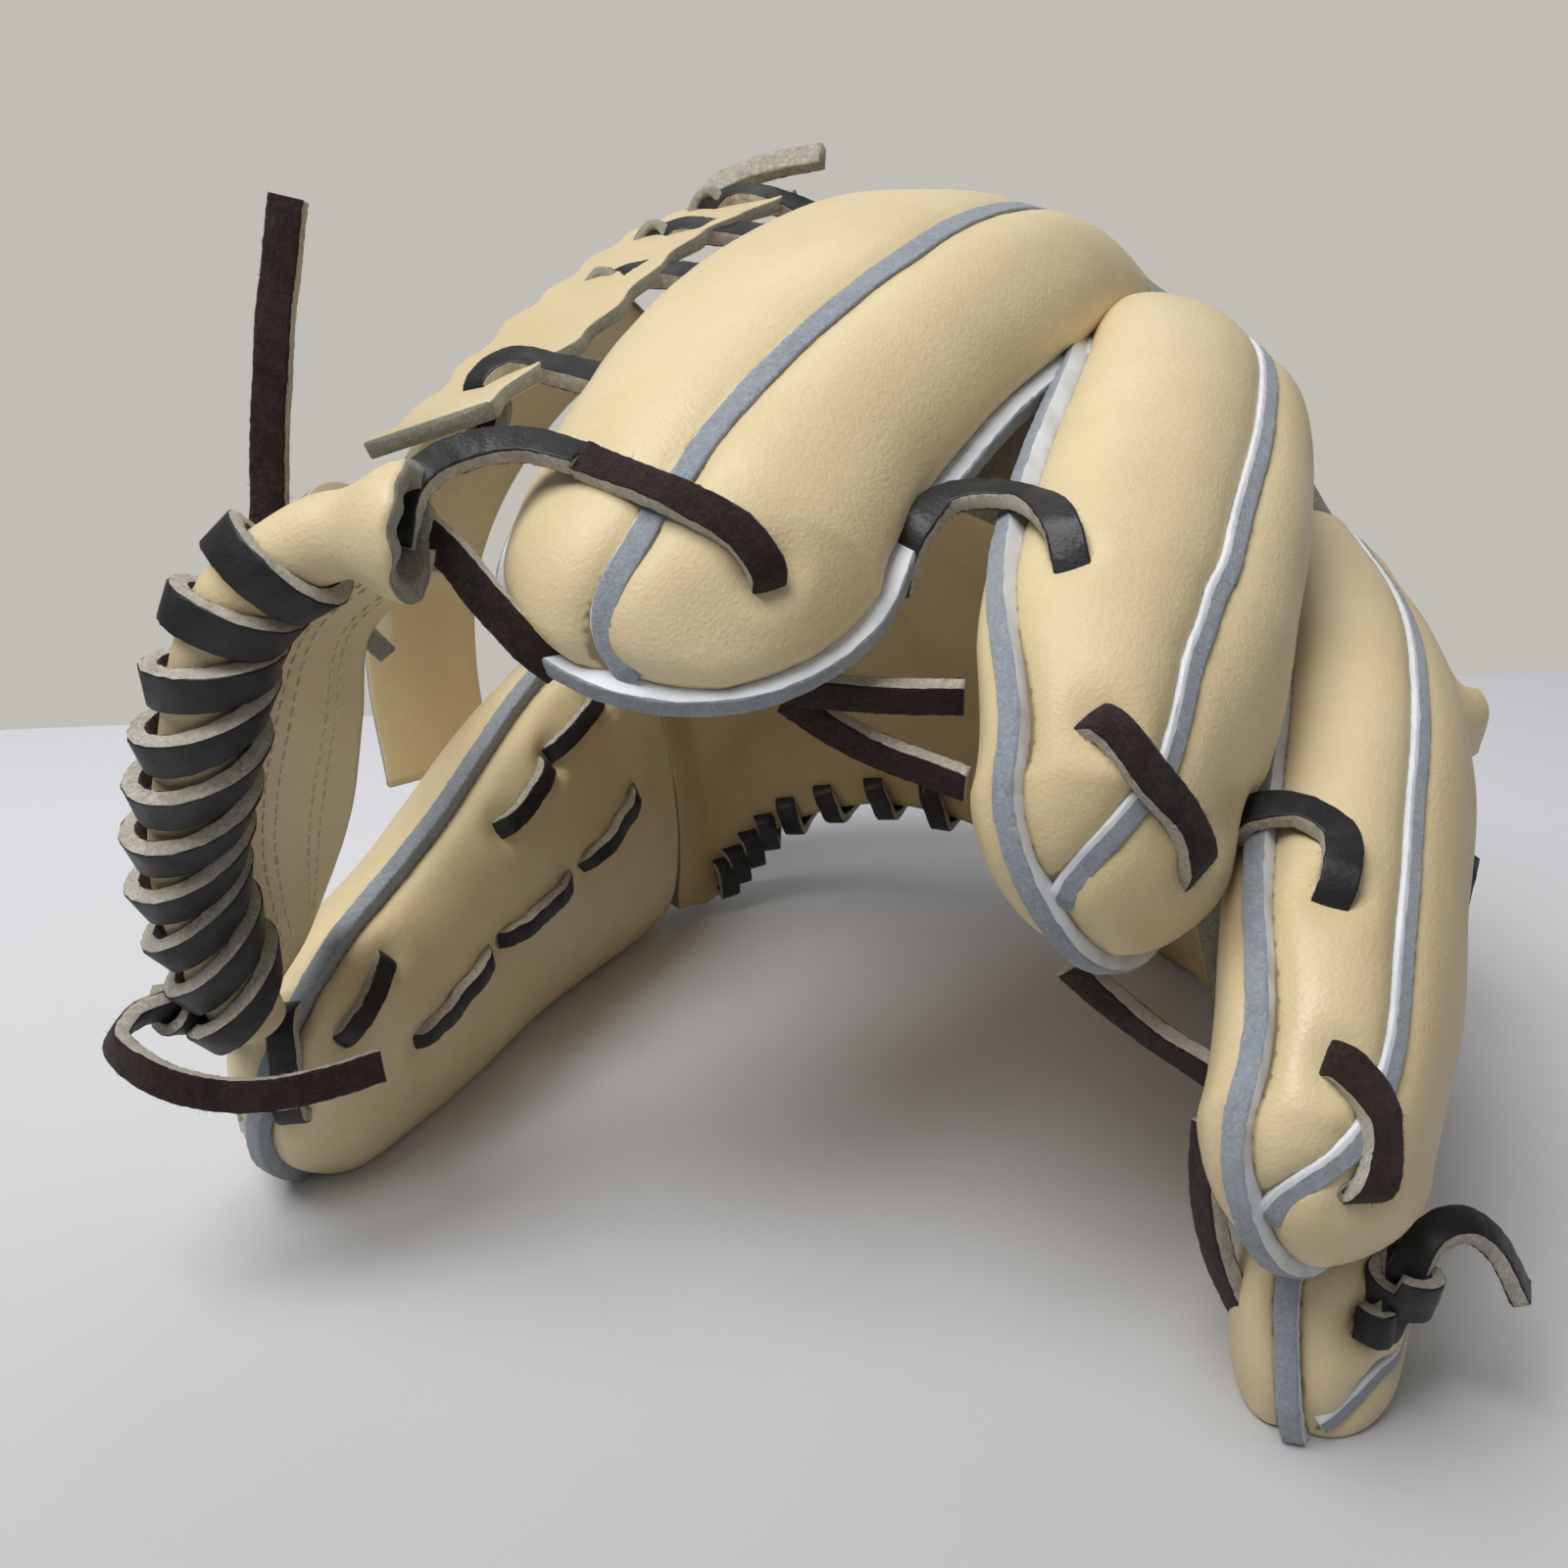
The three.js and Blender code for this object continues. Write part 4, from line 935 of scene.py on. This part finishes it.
def with_ends(name, rows):
    """The rows of a lace with its ends turned into the leather"""
    rows = np.array(rows, float)
    rows[:, 3:] = unit(rows[:, 3:])
    for goes_in in GOES_IN.get(name, (0, 0)):
        if goes_in:
            away = unit(rows[0, :3] - rows[1, :3])
            place = rows[0, :3] + away * END_REACH - rows[0, 3:] * DIP
            rows = np.vstack([[*place, *(away + 0.3 * rows[0, 3:])], rows])
        rows = rows[::-1]
    return rows


def lace_samples(rows, count):
    rows = np.array(rows, float)
    path = Path(rows[:, :3])
    faces = Path(unit(rows[:, 3:]))
    t = path.even(np.linspace(0, 1, count))
    return path.at(t), unit(faces.at(t)), path


def dash_samples(rows):
    """A short lace that comes out of the leather, lies flat on it and goes in again"""
    first, middle, last = np.array(rows, float)
    run = unit(last - first)
    share = np.linspace(-0.12, 1.12, 48)
    route = Path(np.vstack([first - run * DASH_MORE, middle, last + run * DASH_MORE]))
    beyond = np.minimum(share, 0) + np.maximum(share - 1, 0)
    at = route.at(np.clip(share, 0, 1)) + run * (beyond * 20)[:, None]
    stall = STALLS["thumb"]
    skin_at, skin_face = [], []
    for p in at:
        _, d, angle, _, normal = nearest_skin(p, 30.0, ("thumb",))
        skin_at.append(stall.skin(d, angle)[0])
        skin_face.append(normal)
    skin_at, skin_face = eased(np.array(skin_at), 12), unit(eased(np.array(skin_face), 12))
    lift = 1.5 - 6.0 * (1 - smooth_step(np.minimum(share + 0.12, 1.12 - share), 0.0, 0.22))
    return skin_at + skin_face * lift[:, None], skin_face


def lace(name, rows, replaces=(), width=LACE_WIDTH, thick=3.0):
    if name.startswith("thumb_dash"):
        at, face = dash_samples(rows)
        width = DASH_WIDTH
    else:
        rows = with_ends(name, rows)
        at, face, _ = lace_samples(rows, max(16, int(Path(rows[:, :3]).length / 0.9)))
    section, kinds = bar(width, thick, 0.5, 0.15)
    wander = np.stack([lumps(at, 11, s) for s in (2.2, 5.5, 7.7)], -1) * 0.25
    wander[0] = wander[-1] = 0
    flesh_out = name in FLESH_OUT
    finish = OUT_FLESH if flesh_out else OUT_BLACK
    if name == "far_tail":
        finish = (LACE_EDGE, LACE_EDGE, LACE_FLESH)
    return sweep(f"{name}_strip", at + wander, face, section, kinds, finish, 0.055, replaces,
                 fuzz=FLESH_OUT_FUZZ if flesh_out else LACE_FUZZ)


def wrap(name, lace_name, share, turns=1.3, pitch=3.0):
    """A knot drawn tight: a lace wound round another at a share of its length"""
    rows = with_ends(lace_name, LACES[lace_name])
    centre, out, _ = lace_samples(rows, 200)
    along = unit(np.gradient(centre, axis=0))
    out = unit(out - np.sum(out * along, axis=1, keepdims=True) * along)
    side = np.cross(along, out)
    k = int(share * 199)
    angle = np.linspace(-0.6, turns * 2 * math.pi, 70)
    ring = (side[k] * (np.cos(angle) * 4.9)[:, None] + out[k] * (np.sin(angle) * 3.6)[:, None])
    at = centre[k] + ring + along[k] * (angle / (2 * math.pi) * pitch - pitch * turns / 2)[:, None]
    section, kinds = bar(5.0, 2.4, 0.45, 0.1)
    sweep(name, at, unit(ring), section, kinds, OUT_BLACK, 0.05, (), fuzz=LACE_FUZZ)


def entry_points():
    """Where a lace goes into a stall: the stall, the place, the normal and the way of the lace"""
    found = []
    for name, rows in LACES.items():
        dash = name.startswith("thumb_dash")
        first, last = (1, 1) if dash else GOES_IN.get(name, (0, 0))
        line = dash_samples(rows)[0] if dash else lace_samples(with_ends(name, rows), 60)[0]
        for wanted, part in ((first, line), (last, line[::-1])):
            if not wanted:
                continue
            for k in range(1, 20):
                near = nearest_skin(part[k], 8.0, ("thumb",) if dash else tuple(FINGERS))
                if near is not None and np.dot(part[k] - near[3], near[4]) > 0:
                    found.append((f"{name}_{'last' if part is not line else 'first'}", *near,
                                  unit(part[k] - part[k - 1])))
                    break
    return found


def slit(name, at, normal, run, half=(2.0, 3.6), lip_size=0.28):
    """A cut through the leather round a lace: a raw lip and, for its dark inside, a plate of painted shade
    """
    run = unit(run - np.dot(run, normal) * normal)
    side = np.cross(normal, run)
    around = np.linspace(0, 2 * math.pi, 36, endpoint=False)
    lip = []
    for a in np.linspace(0, 2 * math.pi, 8, endpoint=False):
        grow = lip_size * math.cos(a)
        rise = 0.9 * lip_size * math.sin(a) + 0.1
        lip.append(at + run * (np.cos(around) * (half[0] + grow))[:, None]
                   + side * (np.sin(around) * (half[1] + grow))[:, None] + normal * rise)
    lip = np.stack(lip, axis=0) + rng.normal(0, 0.07, (8, 36, 3))
    faces = [tuple(map(int, q)) for q in tube_faces(9, 36) % (8 * 36)]
    picks = [0] * len(faces)
    verts = lip.reshape(-1, 3)
    # A near-black plate across the cut: painted shade of the hole
    shade_plate, shade_plate_faces = ring_body(np.stack([
        at + run * (np.cos(around) * half[0])[:, None] + side * (np.sin(around) * half[1])[:, None]
        + normal * rise for rise in (-0.9, 0.12)]))
    faces += [tuple(i + len(verts) for i in f) for f in shade_plate_faces]
    picks += [1] * len(shade_plate_faces)
    build(f"{name}_slit", np.vstack([verts, shade_plate]), faces, [RAW, HOLE_SHADE], picks, None)


# Web

roll_path = Path(ROLL)


def roll_frame(t):
    way = roll_path.way(t)
    side = unit(np.cross(way, np.array([0, 1.0, 0])))
    return way, side, unit(np.cross(side, way))


def web_roll(radius=6.9, wall=3.0, around=48):
    """The rolled edge, a tube of one thick leather that flares at its ragged free end"""
    t = np.linspace(0, 1, 100)
    way, side, up = roll_frame(t)
    angles = np.linspace(0, 2 * math.pi, around, endpoint=False)
    flare = 4.0 * smooth_step(t, 0.85, 1.0)
    centre = roll_path.at(t)

    def ring(r):
        return (centre[:, None] + side[:, None] * (np.cos(angles) * r[:, None])[..., None]
                + up[:, None] * (np.sin(angles) * r[:, None])[..., None])

    outer = ring(radius + flare)
    outer += 0.35 * lumps(outer, 10)[..., None] * unit(outer - centre[:, None])
    ragged = way[-1] * (2.0 * lumps(outer[-1], 6, 4.0) + 2.4 * np.cos(angles + 0.7))[:, None]
    outer[-1] += ragged
    outer[-2] += 0.6 * ragged
    inner = ring(radius - wall + flare)[::-1]
    inner[0] += ragged
    inner[1] += 0.6 * ragged
    verts, faces = ring_body(np.concatenate([outer, inner]))
    band = np.repeat(np.arange(len(t) * 2 - 1), around)
    picks = np.where(band < len(t) - 1, 0, np.where(band == len(t) - 1, 1, 2)).tolist()
    picks += [2] * (len(faces) - len(picks))
    build("web_roll_leather", verts, faces, [PLAIN, RAW, RAW], picks, None, ("web_roll",))


def web_winding(turns=9.8, tilt=27.0, hang=4.2):
    """The lace wound round the roll: its turns hang on the outer side and lean outwards at the top"""
    count = int(turns * 44)
    s = np.linspace(0.02, 0.84, count)
    t = roll_path.even(s)
    way, side, up = roll_frame(t)
    angle = np.linspace(0, turns * 2 * math.pi, count) + 0.6
    radial = up * np.cos(angle)[:, None] + side * np.sin(angle)[:, None]
    outwards = unit(np.array([-1.0, -0.35, 0.0]))
    lean_in = np.sum(radial * outwards, axis=1, keepdims=True)
    wobble = 0.3 * lumps(np.stack([angle * 1.4, s * 0, s * 0], -1), 2.0, 2.0)
    upright = smooth_step(s, 0.55, 0.74)[:, None]
    at = roll_path.at(t) + radial * (8.7 + wobble)[:, None] - way * hang * lean_in * (1 - upright)
    lean = math.radians(tilt) * (0.75 + 0.25 * lean_in) * (1 - 0.8 * upright)
    face = radial * np.cos(lean) - way * np.sin(lean)
    section, kinds = bar(7.0, 3.2, 0.45, 0.1)
    sweep("web_winding", at, face, section, kinds, OUT_BLACK, 0.07, ("web_winding_lace",),
          fuzz=LACE_FUZZ)


def grid_through(table, across, along):
    lines = [Path(row) for row in table]
    columns = []
    for share in np.linspace(0, 1, across):
        columns.append(Path([line.at(share) for line in lines]).at(np.linspace(0, 1, along)))
    return np.stack(columns, axis=1)


def sheet(name, top, thick, materials, replaces, ripple):
    """A leather sheet: materials for its outer face, its cut edges and its inner face"""
    normal = grid_normals(top)
    top = top + normal * (ripple * lumps(top, 22, 5.0) + 0.3 * ripple * lumps(top, 8, 1.0))[..., None]
    under = top + normal * thick
    verts, faces, n = sheet_body(top, under)
    picks = [0] * n + [2] * n + [1] * (len(faces) - 2 * n)
    return build(name, verts, faces, materials, picks, None, replaces), top, normal


def strap(name, rows, width, thick, materials, replaces, count=60, scallop=0.0):
    at, face, path = lace_samples(rows, count)
    section, kinds = bar(width, thick, 0.5)
    n = len(section)
    fine = []
    marks = []
    for k in range(n):
        a, b = section[k], section[(k + 1) % n]
        steps = max(1, int(np.linalg.norm(b - a) / 2.0))
        for s in range(steps):
            fine.append(a + (b - a) * s / steps)
            marks.append(kinds[k])
    fine = np.array(fine)
    size = None
    if scallop:
        share = np.linspace(0, path.length, count)
        size = 1 + scallop * np.cos(share * 2 * math.pi / 17.0)
    return sweep(name, at, face, fine, marks, materials, 0.0, replaces, size)


def stitches(name, points, normals, step=3.2, long=2.1, thick=0.55):
    """A row of separate stitches along points on a face"""
    arc = arc_lengths(points)
    verts, faces = [], []
    section, _ = bar(thick, thick * 0.8, 0.15)
    for start in np.arange(step / 2, arc[-1] - long, step):
        u = np.linspace(start, start + long, 6)
        p = np.stack([np.interp(u, arc, points[:, k]) for k in range(3)], -1)
        n = unit(np.stack([np.interp(u, arc, normals[:, k]) for k in range(3)], -1))
        hump = np.sin(np.linspace(0, math.pi, 6))
        p = p + n * (0.12 + 0.22 * hump - 0.25 * (1 - hump))[:, None]
        along = unit(np.gradient(p, axis=0))
        v, f = ring_body(section_rings(p, np.cross(along, n), n, section))
        faces += [tuple(i + sum(map(len, verts)) for i in q) for q in f]
        verts.append(v)
    return build(name, np.vstack(verts), faces, [THREAD], None, None)


def cut_out(obj, cutter):
    """Cuts one closed mesh out of another and deletes the cutter"""
    change = obj.modifiers.new("cut", "BOOLEAN")
    change.operation = "DIFFERENCE"
    change.object = cutter
    change.solver = "EXACT"
    done = bpy.data.meshes.new_from_object(obj.evaluated_get(bpy.context.evaluated_depsgraph_get()))
    obj.modifiers.clear()
    done.name = obj.name
    obj.data = done
    bpy.data.objects.remove(cutter)


def hole_reach(points):
    """Below 1 inside the opening over the knuckles"""
    lean = math.radians(BACK_HOLE["lean"])
    p = np.asarray(points, float) - np.array(BACK_HOLE["at"])
    turned = np.stack([p[..., 0], p[..., 1] * math.cos(lean) + p[..., 2] * math.sin(lean),
                       p[..., 2] * math.cos(lean) - p[..., 1] * math.sin(lean)], -1)
    return np.linalg.norm(turned / np.array(BACK_HOLE["half"]), axis=-1)


def hole_line(grid_at, count=72):
    """The opening's edge on a surface that grid_at gives for shares across and along"""
    u, v = np.meshgrid(np.linspace(0, 1, 160), np.linspace(0, 1, 120), indexing="ij")
    reach = hole_reach(grid_at(u, v))
    i, j = np.unravel_index(np.argmin(reach), reach.shape)
    start = np.array([u[i, j], v[i, j]])
    line = []
    for a in np.linspace(0, 2 * math.pi, count, endpoint=False):
        way = np.array([math.cos(a), math.sin(a)])
        far = start + way * np.linspace(0, 0.9, 400)[:, None]
        out = hole_reach(grid_at(*np.clip(far, 0, 1).T)) > 1
        line.append(np.clip(far[np.argmax(out)], 0, 1))
    return np.array(line)


def grid_reader(grid):
    """A function from shares across and along to points between a grid's own"""
    rows, cols, _ = grid.shape

    def read(u, v):
        x, y = np.asarray(u) * (cols - 1), np.asarray(v) * (rows - 1)
        i, j = np.minimum(x.astype(int), cols - 2), np.minimum(y.astype(int), rows - 2)
        a, b = (x - i)[..., None], (y - j)[..., None]
        return (grid[j, i] * (1 - a) * (1 - b) + grid[j, i + 1] * a * (1 - b)
                + grid[j + 1, i] * (1 - a) * b + grid[j + 1, i + 1] * a * b)

    return read


def edge_binding(name, line, normals, width, thick, material):
    """A closed band over an edge"""
    section, kinds = bar(width, thick, 0.5, 0.2)
    along = unit(np.roll(line, -1, axis=0) - np.roll(line, 1, axis=0))
    rings = section_rings(line, np.cross(along, normals), normals, section)
    rows, cols = rings.shape[:2]
    faces = [tuple(map(int, q)) for q in tube_faces(rows + 1, cols) % (rows * cols)]
    build(name, rings.reshape(-1, 3), faces, [material], None, None)


def heel_strip(grid, turns=9, span=(0.04, 0.62)):
    """The lace wound round the heel edge of the palm"""
    middle = grid - grid_normals(grid) * PALM_THICK / 2
    inside, rim = middle[-8], middle[-1]
    cols = len(rim)
    count = turns * len(HEEL_WRAP) + 1
    place = (span[0] + (span[1] - span[0]) * np.linspace(0, 1, count) ** 1.6) * (cols - 1)
    read = lambda line, x: np.stack([np.interp(x, np.arange(cols), line[:, k]) for k in range(3)], -1)
    at = read(rim, place)
    outward = unit(at - read(inside, place))
    along = unit(np.gradient(at, axis=0))
    normal = unit(np.cross(along, outward))
    wrap = np.array([HEEL_WRAP[i % len(HEEL_WRAP)] for i in range(count)])
    centre = at + outward * wrap[:, :1] + normal * wrap[:, 1:]
    face = unit(outward * (wrap[:, :1] + 2.6) + normal * wrap[:, 1:])
    rows = np.hstack([centre, face])
    samples, faces, _ = lace_samples(rows, turns * 40)
    section, kinds = bar(5.6, 2.7, 0.45, 0.1)
    sweep("heel_winding", samples, faces, section, kinds, OUT_BLACK, 0.06, ("heel_lace",),
          fuzz=LACE_FUZZ)


entries = entry_points()
for _, stall, _, _, near, _, _ in entries:
    stall.dimples.append((near, *DIMPLE))

for stall in STALLS.values():
    stall_mesh(stall)
    stall_seam(stall)
    stall_welt(stall)

for name, stall, d, angle, _, normal, run in entries:
    slit(name, stall.skin(d, angle)[0], normal, run)

for name, rows in LACES.items():
    loop = name.startswith("web_loop")
    lace(name, rows, (name,), 7.5 if loop else LACE_WIDTH, 3.4 if loop else 3.0)

wrap("pinky_knot", "pinky_tail", 0.34)
wrap("thumb_knot", "thumb_tail", 0.30)
web_roll()
web_winding()

# The web's skirt with its two double rows of stitches
skirt_grid = grid_through(SKIRT, 70, 30)
_, skirt_top, skirt_normal = sheet("web_skirt_leather", skirt_grid, 3.0, [PLAIN, RAW, PLAIN],
                                   ("web_skirt",), 0.25)
for number, share in enumerate((0.20, 0.29, 0.60, 0.69)):
    row = int(share * (skirt_top.shape[0] - 1))
    stitches(f"skirt_stitches_{number}", skirt_top[row, 2:-2], -skirt_normal[row, 2:-2])

strap("web_base_leather", WEB_BASE, 28, 3, [PLAIN, RAW, PLAIN], ("web_base",))
strap("web_post_leather", WEB_POST, 24, 4, [PLAIN, RAW, PLAIN], ("web_post",))
BAND_FACE = [-5, -7, 5]  # the band along the index finger looks down on the finger's side
band_rows = [[*row[:3], *BAND_FACE] for row in WEB_INDEX]
strap("web_index_leather", band_rows, 27, 3, [PLAIN, RAW, PLAIN], ("web_index_band",),
      scallop=0.08)
for number, name in enumerate(("web_loop_a", "web_loop_b", "web_loop_c", "web_loop_d")):
    end = np.array(LACES[name][-1], float)
    slit(f"web_cup_{number}", end[:3] + unit(end[3:]) * 1.0, unit(np.array(BAND_FACE, float)),
         np.array([1.0, 0, 0]), (4.0, 5.6), 1.3)
strap("strap_tab_leather", TAB, 12, 3, [PLAIN, RAW, PLAIN], ("strap_tab",))

# Palm, run on to the thumb, and the lace round its heel edge
palm_rows = [[list(extra), *row] for extra, row in zip(PALM_TO_THUMB, PALM)]
# The palm's face under the arch uses the leather with painted shade
sheet("palm_leather_sheet", grid_through(palm_rows, 120, 70), -PALM_THICK, [SHADED_LINING, RAW, SHADED_PALM_SKIN],
      ("palm_panel",), 0.8)
heel_strip(grid_through(PALM, 110, 70))

# Back of the hand with its bound opening, and the strap sewn over it
back_grid = grid_through(BACK, 120, 70)
back, back_top, back_normal = sheet("hand_back_leather", back_grid, BACK_THICK, [SHADED_LINING, RAW, PLAIN],
                                    ("hand_back",), 0.6)
ball = bpy.data.meshes.new("opening")
lean = math.radians(BACK_HOLE["lean"])
shape = (Matrix.Translation((Vector(BACK_HOLE["at"]) - Vector(CENTRE)) * MM) @ Matrix.Rotation(lean, 4, "X")
         @ Matrix.Diagonal((*(MM * half for half in BACK_HOLE["half"]), 1)))
maker = bmesh.new()
bmesh.ops.create_uvsphere(maker, u_segments=96, v_segments=48, radius=1, matrix=shape)
maker.to_mesh(ball)
maker.free()
ball.materials.append(RAW)
cut_out(back, add_object("opening", ball))
read_back = grid_reader(back_top + back_normal * BACK_THICK)
edge_line = hole_line(read_back)
edge_at = read_back(*edge_line.T)
edge_normal = unit(grid_reader(back_normal)(*edge_line.T))
edge_binding("opening_binding", edge_at - edge_normal * BACK_THICK / 2, edge_normal, 3.4, BACK_THICK + 2.2,
             SUEDE)

STRAP_THICK = 3.5
strap_u, strap_v = np.meshgrid(np.linspace(1 / 11, 9 / 11, 90), np.linspace(0.5, 2 / 3, 14))
strap_grid = (read_back(strap_u, strap_v) + unit(grid_reader(back_normal)(strap_u, strap_v)) * 0.45)
_, strap_top, strap_normal = sheet("wrist_strap_leather", strap_grid, STRAP_THICK, [PLAIN, RAW, PLAIN],
                                   ("wrist_strap",), 0.2)
for number, row in enumerate((1, 12)):
    stitches(f"strap_stitches_{number}", strap_top[row, 2:-2] + strap_normal[row, 2:-2] * STRAP_THICK,
             strap_normal[row, 2:-2])

# Stage: a pale table whose far edge shows, painted darker towards the front, a pale wall in the light behind
# it, and soft light

ROOM_WALL = (0.53, 0.515, 0.475)
ROOM_FRONT = (0.06, 0.06, 0.06)
ROOM_CEILING = (0.20, 0.20, 0.21)
TABLE_REACH = 0.31  # metres from the origin to the table's far edge
TABLE_SLOPE = 0.128  # the edge runs away to the right
TABLE_HALF = 4.0
# Table colours: darker near the front and lighter far back, painted light falling off towards the front
TABLE_NEAR_SHADED = ((0.56, 0.565, 0.57), (0.52, 0.525, 0.53))
TABLE_FAR_LIT = (0.82, 0.825, 0.86)

far = [(side * TABLE_HALF, TABLE_REACH + side * TABLE_HALF * TABLE_SLOPE, 0) for side in (1, -1)]
floor_data = bpy.data.meshes.new("floor")
near = [(side * TABLE_HALF, -TABLE_HALF, 0) for side in (-1, 1)]
floor_data.from_pydata([*near, *far], [], [(0, 1, 2, 3)])
floor = add_object("floor", floor_data)
table_skin, tree, shader = new_material("table_top", 0.5, 0.3)
cloudy = noise_node(tree, object_coords(tree), 3.0, 2.0)
shaded_near_tone = mix(tree, cloudy, *TABLE_NEAR_SHADED)
split = node(tree, "ShaderNodeSeparateXYZ", Vector=object_coords(tree))
# Mix from the near colours to the far one along y: painted shade at the front, painted light at the back
depth = spread(tree, split.outputs[1], -0.30, 0.22)
tree.links.new(mix(tree, depth, shaded_near_tone, TABLE_FAR_LIT), shader.inputs["Base Color"])
floor_data.materials.append(table_skin)

world = bpy.data.worlds.new("studio")
bpy.context.scene.world = world
world.use_nodes = True
tree = world.node_tree
sky = tree.nodes["Background"]
way = node(tree, "ShaderNodeSeparateXYZ", Vector=tree.nodes.new("ShaderNodeTexCoord").outputs["Generated"])
walls = mix(tree, spread(tree, way.outputs[1], 0.3, 0.9), ROOM_FRONT, ROOM_WALL)
tree.links.new(mix(tree, spread(tree, way.outputs[2], 0.15, 0.7), walls, ROOM_CEILING), sky.inputs["Color"])


def area_light(name, at, target, size, power):
    data = bpy.data.lights.new(name, "AREA")
    data.shape = "RECTANGLE"
    data.size, data.size_y = size
    data.energy = power
    obj = add_object(name, data)
    obj.location = at
    obj.rotation_euler = (Vector(target) - Vector(at)).to_track_quat("-Z", "Y").to_euler()


# Name, place and target in metres, width and height in metres, watts
LIGHTS = [
    ("key", (-0.42, -0.42, 1.15), (0, 0, 0.08), (0.7, 0.7), 13.5),
    ("fill", (0.5, -1.3, 0.9), (0, 0, 0.1), (0.8, 0.8), 1.1),
    ("rear", (0.1, 0.9, 1.2), (0, 0, 0.1), (0.8, 0.6), 1.6),
]
for light in LIGHTS:
    area_light(*light)

bpy.context.scene.view_settings.view_transform = "Standard"
